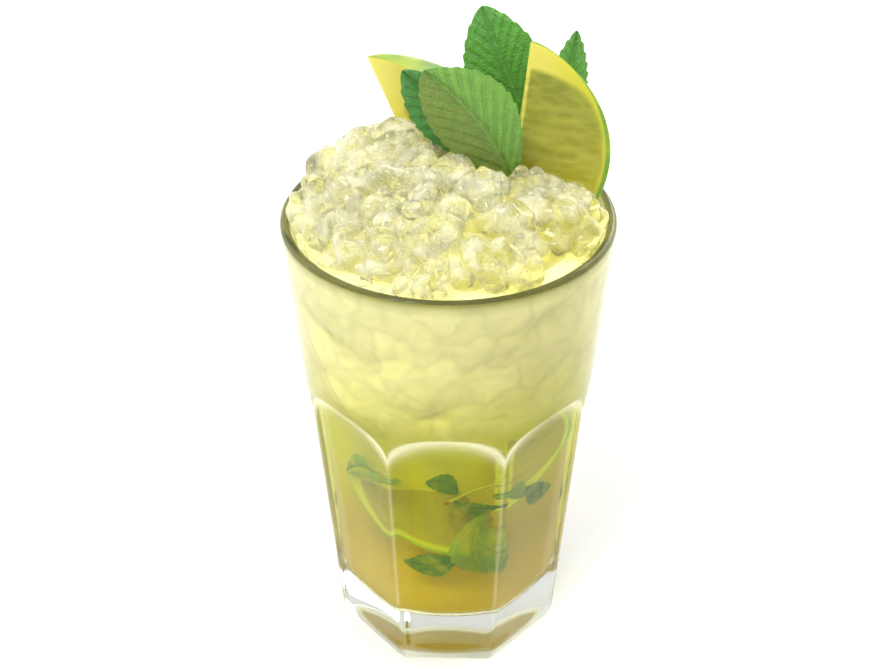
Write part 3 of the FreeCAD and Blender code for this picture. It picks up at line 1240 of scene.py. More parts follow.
@dataclass
class IceHeap:
    """Crushed ice: a lumpy body with loose lumps of several sizes over it."""

    tumbler: Tumbler
    bottom: float
    edge_height: float = 137.5 * MM
    slope_back: float = 0.05
    slope_left: float = 0.02
    dome_rise: float = 16.0 * MM
    peak: tuple[float, float] = (-17.0 * MM, 10.0 * MM)
    peak_rise: float = 5.0 * MM
    peak_spread: float = 10.0 * MM
    body_below: float = 5.5 * MM
    body_stain: float = 0.45
    body_inset: float = 4.0 * MM
    sunk_inset: float = 3.5 * MM
    large_count: int = 96
    large_sizes: tuple[float, float] = (4.6 * MM, 7.6 * MM)
    small_count: int = 230
    small_sizes: tuple[float, float] = (2.2 * MM, 4.0 * MM)
    lump_sides: int = 14
    lump_edge: float = 14.0
    lump_reach: float = 1.2
    directions: int = 256
    ice: CrushedIce = field(default_factory=CrushedIce)

    def surface(self, x: Array, y: Array) -> Array:
        """Gives the heap's height at a place, without its lumps.

        Args:
            x: Places to the right.
            y: Places to the back.

        Returns:
            The heights.
        """
        reach = self.tumbler.lip_inside
        inside = np.clip(1 - (x ** 2 + y ** 2) / reach ** 2, 0, 1)
        away = np.hypot(x - self.peak[0], y - self.peak[1]) / self.peak_spread
        pile = self.peak_rise * np.exp(-(away ** 2))
        slope = self.slope_back * y - self.slope_left * x
        return self.edge_height + slope + self.dome_rise * inside ** 0.8 + pile

    def stain_and_shade(self, places: Array) -> Array:
        """Gives how far the ice is darkened and yellowed: to the right by painted shade, lower down
        by the drink's staining.
        """
        # Lower down is the drink's staining; towards the right is painted shade, on the side away
        # from the key light.
        lower = smooth(150 * MM, 132 * MM, places[..., 2])
        right = smooth(-10 * MM, 40 * MM, places[..., 0])
        return 0.15 + 0.45 * right + 0.35 * lower

    def build(self, garnish: Sequence[bpy.types.Object]) -> list[bpy.types.Object]:
        """Builds and dresses the ice.

        Args:
            garnish: The pieces that stand in the heap, which lumps keep out of.

        Returns:
            The body and the pieces of loose lumps.
        """
        body = self._build_body()
        trees = [self._tree(piece) for piece in garnish]
        large = self._build_lumps(
            "ice_lumps_large", self.large_count, self.large_sizes, 4, 5, trees
        )
        small = self._build_lumps(
            "ice_lumps_small", self.small_count, self.small_sizes, 3, 6, trees
        )
        return [body, large, small]

    @staticmethod
    def _tree(piece: bpy.types.Object) -> BVHTree:
        """Makes a search tree of a piece's faces."""
        points = [v.co for v in piece.data.vertices]
        return BVHTree.FromPolygons(points, [list(f.vertices) for f in piece.data.polygons])

    def _build_body(self) -> bpy.types.Object:
        """Builds the body under the loose lumps, out to just inside the wall.

        Returns:
            The piece, which stands for the packed ice.
        """
        turn = np.linspace(0, FULL_TURN, self.directions, endpoint=False)
        shares = np.concatenate([np.linspace(0.02, 0.94, 60), [0.97, 0.985, 1.0]])
        wall = self.tumbler.inner_radius(np.array([self.tumbler.lip_height]))[0]
        ring, around = np.meshgrid(shares * (wall - self.body_inset), turn, indexing="ij")
        x, y = ring * np.cos(around), ring * np.sin(around)
        flat = np.stack([x, y, np.zeros_like(x)], axis=-1)
        noise = Randomness(5)
        bumps = 2.2 * MM * noise.at(flat, 6 * MM) + 1.0 * MM * noise.at(flat, 2.5 * MM)
        top = self.surface(x, y) - self.body_below + bumps
        rim = shares[:, None] > 0.95
        top = np.minimum(top, np.where(rim, self.tumbler.lip_height - 2 * MM, top))
        side_heights = np.linspace(self.bottom, self.tumbler.lip_height - 3 * MM, 12)
        side_radii = self.tumbler.inner_radius(side_heights) - self.body_inset
        ones = np.ones_like(turn)
        under_radii = np.array([0.02, 0.4, 0.8])[:, None] * side_radii[0] * ones
        radii = np.concatenate([under_radii, side_radii[:, None] * ones, ring[::-1]])
        under = np.full((3, self.directions), self.bottom)
        heights = np.concatenate([under, side_heights[:, None] * ones, top[::-1]])
        points, faces = lathe(radii, heights, self.directions)
        piece = new_object(
            "crushed_ice_body",
            points,
            faces,
            self.ice.material("ice_body", 0.75),
            {"stain_and_shade": self.stain_and_shade(points) + self.body_stain},
        )
        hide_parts("crushed_ice")
        return piece

    def _build_lumps(
        self,
        name: str,
        count: int,
        sizes: tuple[float, float],
        detail: int,
        seed: int,
        trees: Sequence[BVHTree],
    ) -> bpy.types.Object:
        """Builds loose lumps of one kind, as one mesh.

        Args:
            name: The piece's name.
            count: How many lumps to try.
            sizes: The least and greatest radius.
            detail: How finely each is divided.
            seed: Which of the possible scatters to give.
            trees: The garnish, for keeping lumps out of it.

        Returns:
            The piece.
        """
        source = np.random.default_rng(seed)
        sphere, triangles = ball(detail)
        points: list[Array] = []
        faces: list[Array] = []
        total = 0
        for index in range(count):
            size = source.uniform(*sizes)
            reach = self.tumbler.lip_inside - 0.45 * size
            # The golden angle spreads the lumps evenly over the heap.
            radius = reach * math.sqrt((index + 0.5) / count)
            turn = index * math.pi * (3 - math.sqrt(5)) + source.normal(0, 0.15)
            x, y = radius * math.cos(turn), radius * math.sin(turn)
            z = float(self.surface(np.array(x), np.array(y))) - size * source.uniform(0.35, 0.85)
            if any(self._inside(tree, Vector((x, y, z)), 0.75 * size) for tree in trees):
                continue
            lump = self._lump(source, sphere, size) + np.array([x, y, z])
            lip = self.tumbler.lip_height
            sunk = smooth(lip - 0.2 * MM, lip - 2.5 * MM, lump[:, 2])
            over = np.clip((lump[:, 2] - self.tumbler.height) * 0.4, 0, 1.5 * MM)
            wall = self.tumbler.lip_inside - 0.1 * MM - self.sunk_inset * sunk + over
            beyond = np.maximum(np.hypot(lump[:, 0], lump[:, 1]) / wall, 1)
            lump[:, :2] /= beyond[:, None]
            points.append(lump)
            faces.append(triangles + total)
            total += len(lump)
        merged = np.concatenate(points)
        piece = new_object(
            name,
            merged,
            np.concatenate(faces),
            self.ice.material(name, self.ice.cloudiness),
            {"stain_and_shade": self.stain_and_shade(merged)},
        )
        return piece

    @staticmethod
    def _inside(tree: BVHTree, place: Vector, room: float) -> bool:
        """Tells whether a lump here would be inside a garnish piece or stick through it.

        Args:
            tree: The garnish piece.
            place: The lump's middle.
            room: How far off it has to be.

        Returns:
            Whether it has to be left out.
        """
        nearest, normal, _, distance = tree.find_nearest(place)
        if nearest is None:
            return False
        return distance < room or (place - nearest).dot(normal) < 0 and distance < 4 * MM

    def _lump(self, source: np.random.Generator, sphere: Array, size: float) -> Array:
        """Shapes one lump: a broken block whose edges have melted round.

        Args:
            source: Where its randomness comes from.
            sphere: Directions from its middle.
            size: Its radius.

        Returns:
            Its points, about its middle.
        """
        sides = source.normal(size=(self.lump_sides, 3))
        sides /= np.linalg.norm(sides, axis=1)[:, None]
        reach = source.uniform(0.65, 1.05, self.lump_sides)
        facing = np.maximum(sphere @ sides.T, 0) / reach
        radius = (facing ** self.lump_edge).sum(axis=1) ** (-1 / self.lump_edge)
        radius = np.minimum(radius, self.lump_reach)
        return sphere * radius[:, None] * size * source.uniform(0.75, 1.15, 3)


# ------------------------------------------------------------------------------------------ limes


@dataclass
class LimeWedge:
    """A wedge of lime: the core is its straight edge, and two cut faces meet there."""

    name: str
    top: tuple[float, float, float]
    bottom: tuple[float, float, float]
    face: tuple[float, float, float]
    angle: float
    node: str | None = None
    length: float = 58.0 * MM
    radius: float = 24.5 * MM
    nipple: float = 1.8 * MM
    pointedness: float = 1.18
    pith: float = 2.3 * MM
    pith_at_poles: float = 5.5 * MM
    spine: float = 1.0 * MM
    kept_from: float = 0.0
    seed: int = 1
    flesh: LimeFlesh = field(default_factory=LimeFlesh)

    def outline(self, turn: Array) -> tuple[Array, Array]:
        """Gives the fruit's radius and place along its core, from one pole at 0 to the other."""
        half = self.length / 2 - self.nipple
        along = half * np.cos(turn) + self.nipple * np.cos(turn) ** 9
        return self.radius * np.sin(turn) ** self.pointedness, along

    def build(self) -> bpy.types.Object:
        """Builds and dresses the wedge.

        Returns:
            The piece.
        """
        poles, across, around = 120, 60, 50
        turn = np.linspace(0.012 + self.kept_from * math.pi, math.pi - 0.012, poles)
        radius, along = self.outline(turn)
        shares = np.linspace(0.0, 1.0, across)
        opening = math.radians(self.angle)
        blocks: list[Array] = []
        for direction, outward in ((0.0, -1.0), (opening, 1.0)):
            r, z = radius[:, None] * shares, along[:, None] * np.ones(across)
            blocks.append(self._cut_face(r, z, direction, outward))
        swing = np.linspace(0, opening, around)
        r = radius[:, None] * np.ones(around)
        pitted = r + 0.12 * MM * Randomness(self.seed).at(
            np.stack([r * np.cos(swing), r * np.sin(swing), along[:, None] * np.ones(around)], -1),
            3 * MM,
        )
        rind = np.stack(
            [pitted * np.cos(swing), pitted * np.sin(swing), along[:, None] * np.ones(around)], -1
        )
        rind[:, 0], rind[:, -1] = blocks[0][:, -1], blocks[1][:, -1]
        blocks.append(rind)
        if self.kept_from:
            share, way = np.meshgrid(shares, swing, indexing="ij")
            end = np.stack([radius[0] * share * np.cos(way), radius[0] * share * np.sin(way),
                            along[0] * np.ones_like(share)], -1)
            blocks.append(end)
        points, faces = self._join(blocks)
        local = points.copy()
        placed = self._placed(points)
        if self.node:
            placed = fit_to_node(placed, self.node)
        piece = new_object(
            self.name,
            placed,
            faces,
            self.flesh.material(self.name + "_finish"),
            self._marks(local),
        )
        if self.node:
            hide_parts(self.node)
        return piece

    def _cut_face(self, r: Array, z: Array, direction: float, outward: float) -> Array:
        """Shapes one cut face, whose flesh stands and sinks a little between its membranes.

        Args:
            r: Distances from the core.
            z: Places along the core.
            direction: The face's direction about the core, in radians.
            outward: 1 or -1: which way round the core is out of the fruit.

        Returns:
            The grid of points.
        """
        flat = np.stack([r * 0.35, z * 1.4, np.full_like(r, direction)], axis=-1)
        noise = Randomness(self.seed + 3)
        relief = 0.28 * MM * noise.at(flat, 1.6 * MM) + 0.35 * MM * noise.at(flat, 5 * MM)
        relief = relief * smooth(0.0, 0.12, self._flesh_share(r, z)) - 0.25 * MM * smooth(
            0.0, 0.2, self._flesh_share(r, z)
        )
        normal = np.array([-math.sin(direction), math.cos(direction), 0.0]) * outward
        base = np.stack([r * math.cos(direction), r * math.sin(direction), z], axis=-1)
        return base + relief[..., None] * normal

    def _flesh_share(self, r: Array, z: Array) -> Array:
        """Gives how far inside the flesh's outline a point is: 0 on it, more within."""
        wide, tall = self.radius - self.pith, self.length / 2 - self.pith_at_poles
        return 1 - ((r / wide) ** 2.2 + np.abs(z / tall) ** 2.2) ** (1 / 2.2)

    def _marks(self, local: Array) -> dict[str, Array]:
        """Works out what the finish needs to tell rind, pith and flesh apart.

        Args:
            local: The points, with Z along the core.

        Returns:
            The attributes by name.
        """
        r = np.hypot(local[:, 0], local[:, 1])
        z = local[:, 2]
        half = self.length / 2
        turn = np.arccos(np.clip(z / half, -1, 1))
        skin = self.radius * np.sin(turn) ** self.pointedness
        swing = np.arctan2(local[:, 1], local[:, 0])
        fan = np.stack([r / (4.2 * MM), z / (1.5 * MM) * 0.8, swing * 4], axis=-1)
        steep = np.hypot(1.0, z / np.maximum(half, 1e-6))
        return {
            "depth": np.maximum(skin - r, 0) / steep,
            "core": r,
            "beside_core": r / self.spine,
            "flesh": self._flesh_share(r, z),
            "ripe": smooth(0.6 * half, -0.9 * half, z - 0.3 * r),
            "vesicle": fan,
        }

    def _join(self, blocks: Sequence[Array]) -> tuple[Array, Array]:
        """Joins the two cut faces and the rind into one closed mesh.

        Args:
            blocks: Grids of points, the cut faces first.

        Returns:
            The vertices and the faces.
        """
        points, faces, start = [], [], 0
        for number, block in enumerate(blocks):
            rows, columns = block.shape[:2]
            quads = strip_faces(rows, columns, closed=False, start=start)
            faces.append(quads if number == 1 else quads[:, ::-1])
            points.append(block.reshape(-1, 3))
            start += rows * columns
        return np.concatenate(points), np.concatenate(faces)

    def _placed(self, points: Array) -> Array:
        """Moves points from the fruit's own space to where the wedge lies.

        Args:
            points: The points.

        Returns:
            The moved points.
        """
        top, bottom = np.array(self.top), np.array(self.bottom)
        up = unit(top - bottom)
        x = unit(np.array(self.face) - up * np.dot(self.face, up))
        y = np.cross(up, x)
        return (top + bottom) / 2 + points @ np.stack([x, y, up])


# ------------------------------------------------------------------------------------------- mint


class Seat(Enum):
    """Where a leaf is: standing in the ice or sunk in the drink.

    The values are how many points its mesh has along it and across it.
    """

    STANDING = (150, 81)
    SUNK = (50, 27)


@dataclass
class MintLeaf:
    """A toothed leaf with a sunken midrib and side veins, and tissue that bulges between them."""

    name: str
    base: tuple[float, float, float]
    tip: tuple[float, float, float]
    half_width: float
    finish: MintBlade
    widest_at: float = 0.5
    swerve: float = 0.0
    sag: float = 2.0 * MM
    cup: float = 0.1
    roll: float = 0.0
    facing: tuple[float, float, float] = (0.0, -1.0, 0.0)
    node: str | None = None
    seat: Seat = Seat.STANDING
    thickness: float = 0.45 * MM
    teeth: int = 11
    tooth_depth: float = 0.55 * MM
    neck: float = 0.7 * MM
    fullness: float = 0.75
    side_veins: int = 8
    vein_slant: float = 1.9
    swelling: float = 0.3 * MM
    crumple: float = 0.0
    finished: bpy.types.Material | None = None

    def width_at(self, share: Array) -> Array:
        """Gives half the leaf's width at a share of its length, 0 at its base."""
        swell = np.sin(np.pi * share ** (math.log(0.5) / math.log(self.widest_at)))
        blade = self.half_width * np.clip(swell, 0, 1) ** self.fullness
        return np.maximum(self.neck * (1 - share), blade)

    def build(self) -> bpy.types.Object:
        """Builds and dresses the leaf.

        Returns:
            The piece.
        """
        rows, columns = self.seat.value
        length = float(np.linalg.norm(np.array(self.tip) - np.array(self.base)))
        u, v = np.meshgrid(np.linspace(0, 1, rows), np.linspace(-1, 1, columns), indexing="ij")
        width = self.width_at(u)
        phase = (u * (self.teeth + 1)) % 1.0
        saw = np.where(phase < 0.8, phase / 0.8, (1 - phase) / 0.2)
        ragged = self.tooth_depth * (saw - 0.5) * np.abs(v) ** 6 * np.sign(v)
        y = width * v + ragged * smooth(0.02, 0.15, u) * smooth(1.0, 0.9, u)
        veins = self._veins(u, y, length)
        relief = self._relief(u, v, veins, length)
        bow = self.sag * 4 * u * (1 - u)
        x = u * length
        z = bow + self.cup * y ** 2 / self.half_width + relief
        if self.crumple:
            flat = np.stack([x, y, np.zeros_like(x)], axis=-1)
            z = z + self.crumple * Randomness(9).at(flat, 6 * MM)
        y = y + self.swerve * 4 * u * (1 - u)
        top = np.stack([x, y, z], axis=-1)
        under = top - np.array([0, 0, self.thickness])
        points = np.concatenate([top.reshape(-1, 3), under.reshape(-1, 3)])
        faces = self._faces(rows, columns)
        placed = self._placed(points)
        if self.node:
            placed = fit_to_node(placed, self.node)
        marks = {"side": v, "vein": veins["line"], "hollow": veins["beside"]}
        doubled = {key: np.concatenate([m.ravel(), m.ravel()]) for key, m in marks.items()}
        piece = new_object(
            self.name, placed, faces, self.finished or self.finish.material(), doubled
        )
        if self.node:
            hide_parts(self.node)
        return piece

    def _veins(self, u: Array, y: Array, length: float) -> dict[str, Array]:
        """Works out where the veins run.

        Args:
            u: Shares of the length.
            y: Distances from the midrib.
            length: The leaf's length.

        Returns:
            "line", 1 on a vein; "beside", 1 in the hollow next to one; "swell", 1 between them.
        """
        away = np.abs(y)
        rise = u * length - self.vein_slant * away + 0.5 * away ** 2 / self.half_width
        spacing = length / (self.side_veins + 1)
        phase = rise / spacing
        distance = np.abs(phase - np.round(phase)) * spacing
        reach = smooth(self.half_width * 1.15, self.half_width * 0.55, away)
        side = np.exp(-((distance / (0.33 * MM)) ** 2)) * reach
        mid_width = 0.55 * MM * (1.15 - u)
        middle = np.exp(-((away / mid_width) ** 2))
        shade = np.exp(-((distance / (0.95 * MM)) ** 2)) * reach
        return {
            "line": np.maximum(side * 0.7, middle),
            "beside": np.clip(shade - side * 0.7, 0, 1) + 0.6 * np.exp(-((away / (1.3 * MM)) ** 2)),
            "swell": np.sin(np.pi * (phase % 1.0)) ** 0.8,
        }

    def _relief(self, u: Array, v: Array, veins: dict[str, Array], length: float) -> Array:
        """Gives the leaf's relief: grooves along the veins and tissue swelling between them.

        Args:
            u: Shares of the length.
            v: Shares of the half width, below 0 to the left.
            veins: What `_veins` gives.
            length: The leaf's length.

        Returns:
            The heights above the flat leaf.
        """
        margin = smooth(1.0, 0.75, np.abs(v)) * smooth(0.0, 0.12, u) * smooth(1.0, 0.9, u)
        swell = self.swelling * veins["swell"] * smooth(0.02, 0.3, np.abs(v)) * margin
        groove = 0.4 * MM * np.exp(-((v * self.half_width / (0.9 * MM)) ** 2))
        fine = 0.12 * MM * Randomness(4).at(np.stack([u * length, v * 9 * MM, u * 0], -1), 1.5 * MM)
        return swell - groove + fine * margin

    @staticmethod
    def _faces(rows: int, columns: int) -> list[list[int]]:
        """Numbers the faces of the top, the underside and the edge between them.

        Args:
            rows: How many points there are along the leaf.
            columns: How many there are across it.

        Returns:
            The vertex numbers of each face.
        """
        top = strip_faces(rows, columns, closed=False)
        count = rows * columns
        faces = top[:, ::-1].tolist() + (top + count).tolist()
        rim = [i * columns for i in range(rows)]
        rim += [(rows - 1) * columns + j for j in range(1, columns)]
        rim += [i * columns + columns - 1 for i in range(rows - 2, -1, -1)]
        rim += list(range(columns - 2, 0, -1))
        for here, there in zip(rim, rim[1:] + rim[:1]):
            faces.append([here, there, there + count, here + count])
        return faces

    def _placed(self, points: Array) -> Array:
        """Moves points from the leaf's own space to where it lies.

        Args:
            points: The points.

        Returns:
            The moved points.
        """
        base, tip = np.array(self.base), np.array(self.tip)
        axes = axes_from(tip - base, self.facing)
        face = turned(axes[2], axes[0], self.roll)
        axes = axes_from(axes[0], face)
        return base + points @ axes


# ----------------------------------------------------------------------------- sunk in the drink


@dataclass(frozen=True)
class BruisedStem:
    """A soaked mint stem, browned at its cut end."""

    green: Colour = rgb(200, 198, 62)
    brown: Colour = rgb(168, 116, 52)

    def material(self) -> bpy.types.Material:
        """Makes the stem.

        Returns:
            The material.
        """
        shader = Shader("mint_stem")
        along = shader.attribute("along")
        fibres = shader.noise(shader.place(), 0.8 * MM, 2)
        colour = shader.blend(shader.step(along, 0.02, 0.12), self.brown, self.green)
        surface = shader.principled(
            Base_Color=shader.shade(colour, 0.85 + fibres * 0.25),
            Roughness=0.6,
            Specular_IOR_Level=0.0,
            Normal=shader.bump(fibres, 0.1 * MM, 0.6),
        )
        return shader.finish(surface)


@dataclass(frozen=True)
class Spot:
    """A place beside the wall: degrees to the right of the front, height and depth behind it."""

    bearing: float
    height: float
    depth: float = 2.5 * MM

    def point(self, tumbler: Tumbler) -> Array:
        """Gives the place in the frame's space."""
        radius = float(tumbler.inner_radius(np.array(self.height))) - self.depth
        turn = math.radians(self.bearing)
        return np.array([radius * math.sin(turn), -radius * math.cos(turn), self.height])


@dataclass(frozen=True)
class SunkLeaf:
    """One bruised leaf against the wall, from its base to its tip."""

    base: Spot
    tip: Spot
    half_width: float
    finish: MintBlade


@dataclass
class SunkGarnish:
    """What the drink holds: wedges of lime, bruised mint leaves and a stem."""

    tumbler: Tumbler
    stem_radius: float = 0.5 * MM
    bits_behind: int = 9
    dark: MintBlade = MintBlade(
        "mint_sunk_dark", rgb(106, 158, 44), rgb(88, 138, 40), rgb(140, 176, 48),
        rgb(60, 106, 34), gloss=0.0, glow=0.06, soaked=0.55,
    )
    soft: MintBlade = MintBlade(
        "mint_sunk_soft", rgb(148, 178, 44), rgb(134, 168, 42), rgb(172, 190, 54),
        rgb(112, 150, 38), gloss=0.0, glow=0.1, soaked=0.75,
    )
    brown: MintBlade = MintBlade(
        "mint_sunk_brown", rgb(172, 162, 38), rgb(160, 152, 36), rgb(182, 172, 44),
        rgb(134, 130, 32), gloss=0.0, glow=0.1, soaked=0.6,
    )
    soaked: LimeFlesh = LimeFlesh(
        rind=rgb(146, 182, 40), rind_light=rgb(172, 196, 44), pith=rgb(206, 212, 44),
        pith_pale=rgb(206, 210, 60), flesh=rgb(168, 162, 38), flesh_dark=rgb(150, 146, 34),
        flesh_light=rgb(190, 184, 52), gloss=0.0, glow=0.14,
    )

    def leaves(self) -> list[SunkLeaf]:
        """Lists the leaves, from the left of the front round to its right.

        Returns:
            The leaves.
        """
        return [
            SunkLeaf(Spot(-56, 66 * MM, 2 * MM), Spot(-24, 73 * MM, 3 * MM), 4 * MM, self.soft),
            SunkLeaf(Spot(-26, 41 * MM), Spot(6, 44 * MM), 4.4 * MM, self.dark),
            SunkLeaf(Spot(-11, 74.5 * MM), Spot(5, 70.5 * MM), 3.4 * MM, self.dark),
            SunkLeaf(Spot(3, 67 * MM), Spot(26, 64 * MM), 2.2 * MM, self.dark),
            SunkLeaf(Spot(24, 68 * MM, 3 * MM), Spot(38, 63 * MM), 2.8 * MM, self.soft),
            SunkLeaf(Spot(38, 66 * MM), Spot(60, 59 * MM), 3.6 * MM, self.dark),
            SunkLeaf(Spot(2, 64 * MM, 3.5 * MM), Spot(15, 50 * MM, 3.5 * MM), 6.0 * MM, self.brown),
            SunkLeaf(Spot(18, 62 * MM, 3 * MM), Spot(26, 35 * MM, 2.5 * MM), 7.6 * MM, self.soft),
        ]

    def build(self) -> list[bpy.types.Object]:
        """Builds and dresses everything that is sunk.

        Returns:
            The pieces.
        """
        leaves = self.leaves()
        source = np.random.default_rng(11)
        for number in range(self.bits_behind):
            bearing = 100 + 160 * (number + 0.5) / self.bits_behind
            height = source.uniform(36, 82) * MM
            reach, rise = source.uniform(7, 15), source.uniform(-7, 7) * MM
            finish = (self.dark, self.soft)[number % 2]
            start, end = Spot(bearing - reach, height), Spot(bearing + reach, height + rise)
            leaves.append(SunkLeaf(start, end, source.uniform(2, 5) * MM, finish))
        finishes = {leaf.finish.name: leaf.finish.material() for leaf in leaves}
        pieces = [self._build_leaf(n, leaf, finishes) for n, leaf in enumerate(leaves)]
        pieces += [self._build_low_lime(), self._build_side_lime(), self._build_stem()]
        return pieces

    def _build_leaf(
        self, number: int, leaf: SunkLeaf, finishes: dict[str, bpy.types.Material]
    ) -> bpy.types.Object:
        """Builds one leaf, which faces the wall beside it.

        Args:
            number: Its place in the list.
            leaf: What it is.
            finishes: The materials by name, so that leaves share them.

        Returns:
            The piece.
        """
        base, tip = leaf.base.point(self.tumbler), leaf.tip.point(self.tumbler)
        middle = (base + tip) / 2
        made = MintLeaf(
            f"mint_sunk_{number + 1}", tuple(base), tuple(tip), leaf.half_width, leaf.finish,
            sag=0.05 * float(np.linalg.norm(tip - base)), cup=-0.06, seat=Seat.SUNK,
            facing=(middle[0], middle[1], 0.0), crumple=1.1 * MM, teeth=5,
            swerve=0.16 * float(np.linalg.norm(tip - base)) * (-1) ** number,
            finished=finishes[leaf.finish.name],
        )
        return made.build()

    def _build_low_lime(self) -> bpy.types.Object:
        """Builds the half wedge that lies low at the front left, its cut face to the wall.

        Returns:
            The piece.
        """
        pole = Spot(-56, 66 * MM, 2 * MM).point(self.tumbler)
        centre = Spot(2, 69 * MM, 6.5 * MM).point(self.tumbler)
        rind = Spot(6, 44 * MM, 1.5 * MM).point(self.tumbler)
        lime = LimeWedge(
            "lime_sunk_low", tuple(2 * centre - pole), tuple(pole), tuple(rind - centre), 45,
            kept_from=0.46, seed=5, pith=3.2 * MM, flesh=self.soaked,
        )
        return lime.build()

    def _build_side_lime(self) -> bpy.types.Object:
        """Builds the small wedge at the right, with its rind round to the side.

        Returns:
            The piece.
        """
        centre = Spot(26, 79 * MM, 5 * MM).point(self.tumbler)
        rind = Spot(64, 78 * MM, 1.2 * MM).point(self.tumbler)
        half = np.array([0.0, 0.0, 18 * MM])
        lime = LimeWedge(
            "lime_sunk_side", tuple(centre + half), tuple(centre - half), tuple(rind - centre), 35,
            length=36 * MM, radius=23 * MM, seed=6, flesh=replace(self.soaked, glow=0.34),
        )
        return lime.build()

    def _build_stem(self) -> bpy.types.Object:
        """Builds the stem, a tube through four places.

        Returns:
            The piece.
        """
        knots = [Spot(-2, 66 * MM), Spot(9, 70 * MM), Spot(20, 72 * MM), Spot(34, 71 * MM)]
        spots = np.array([knot.point(self.tumbler) for knot in knots])
        rows, columns = 40, 12
        share = np.linspace(0, 1, rows)
        path = np.stack([np.interp(share, [0, 0.3, 0.62, 1], spots[:, i]) for i in range(3)], -1)
        path[1:-1] = (path[:-2] + path[1:-1] + path[2:]) / 3
        along = np.gradient(path, axis=0)
        along /= np.linalg.norm(along, axis=1)[:, None]
        side = np.cross(along, [0, 0, 1.0])
        side /= np.linalg.norm(side, axis=1)[:, None]
        up = np.cross(side, along)
        turn = np.linspace(0, FULL_TURN, columns, endpoint=False)
        girth = self.stem_radius * (1.2 - 0.6 * share)[:, None, None]
        across, over = np.cos(turn)[None, :, None], np.sin(turn)[None, :, None]
        ring = across * side[:, None] + over * up[:, None]
        points = (path[:, None] + girth * ring).reshape(-1, 3)
        faces = strip_faces(rows, columns, closed=True).tolist()
        last = (rows - 1) * columns
        faces += [list(range(columns)), list(range(last + columns - 1, last - 1, -1))]
        marks = {"along": np.repeat(share, columns)}
        piece = new_object("mint_stem", points, faces, BruisedStem().material(), marks)
        return piece


# ------------------------------------------------------------------------------------------ studio


@dataclass
class Studio:
    """A plain pale floor, soft light and the camera."""

    distance: float = 259.9 * MM
    camera_height: float = 287.0 * MM
    pitch: float = 35.91
    focal_pixels: float = 1163.9
    image_width: float = 889.0
    off_centre: float = 4.0
    floor_size: float = 6.0
    floor_drop: float = 0.02 * MM
    floor_points: int = 9
    floor: PaleFloor = field(default_factory=PaleFloor)

    def build(self) -> None:
        """Sets up the floor, the lights, the world and the camera."""
        self._build_floor()
        self._light_world()
        self._add_softbox("key", (-0.4, -0.45, 1.2), 0.4, 8.8)
        self._add_softbox("back", (0.55, 0.75, 0.7), 0.6, 5.0)
        self._place_camera()
        self._set_renderer()

    def _build_floor(self) -> None:
        """Lays the floor."""
        half = self.floor_size / 2
        steps = np.linspace(-half, half, self.floor_points)
        x, y = np.meshgrid(steps, steps, indexing="ij")
        points = np.stack([x, y, np.full_like(x, -self.floor_drop)], axis=-1).reshape(-1, 3)
        faces = strip_faces(self.floor_points, self.floor_points, closed=False)
        new_object("floor", points, faces, self.floor.material())

    @staticmethod
    def _light_world() -> None:
        """Gives the room an even light, dimmer on the drinker's side for the glass to show."""
        world = bpy.data.worlds.new("room")
        world.use_nodes = True
        bpy.context.scene.world = world
        tree = world.node_tree
        background = tree.nodes["Background"]
        coordinates = tree.nodes.new("ShaderNodeTexCoord")
        parts = tree.nodes.new("ShaderNodeSeparateXYZ")
        ramp = tree.nodes.new("ShaderNodeMapRange")
        tree.links.new(coordinates.outputs["Generated"], parts.inputs[0])
        tree.links.new(parts.outputs["Y"], ramp.inputs["Value"])
        ramp.inputs["From Min"].default_value = -0.9
        ramp.inputs["From Max"].default_value = 0.1
        ramp.inputs["To Min"].default_value = 0.7
        ramp.inputs["To Max"].default_value = 1.0
        tree.links.new(ramp.outputs[0], background.inputs["Strength"])
        background.inputs["Color"].default_value = (1.0, 1.0, 1.0, 1.0)

    @staticmethod
    def _add_softbox(
        name: str, place: tuple[float, float, float], size: float, power: float
    ) -> None:
        """Adds a square softbox that points at the drink.

        Args:
            name: The light's name.
            place: Where it hangs.
            size: The length of its side.
            power: Its power in watts.
        """
        light = bpy.data.lights.new(name, "AREA")
        light.shape = "SQUARE"
        light.size = size
        light.energy = power
        holder = bpy.data.objects.new(name, light)
        holder.location = place
        aim = Vector((0, 0, 0.1)) - Vector(place)
        holder.rotation_euler = aim.to_track_quat("-Z", "Y").to_euler()
        bpy.context.scene.collection.objects.link(holder)

    def _place_camera(self) -> None:
        """Places the camera."""
        camera = bpy.data.cameras.new("camera")
        camera.sensor_width = 36.0
        camera.lens = self.focal_pixels * camera.sensor_width / self.image_width
        camera.shift_x = -self.off_centre / self.image_width
        camera.clip_start = 0.01
        holder = bpy.data.objects.new("camera", camera)
        holder.location = (0, -self.distance, self.camera_height)
        holder.rotation_euler = (math.radians(90 - self.pitch), 0, 0)
        bpy.context.scene.collection.objects.link(holder)
        bpy.context.scene.camera = holder

    @staticmethod
    def _set_renderer() -> None:
        """Lets light through enough layers of glass, liquid and ice."""
        scene = bpy.context.scene
        scene.view_settings.view_transform = "Standard"
        scene.cycles.max_bounces = 20
        scene.cycles.transmission_bounces = 20
        scene.cycles.glossy_bounces = 6
        scene.cycles.diffuse_bounces = 3
        scene.cycles.transparent_max_bounces = 24
        scene.cycles.sample_clamp_indirect = 6.0


# -------------------------------------------------------------------------------------- the whole


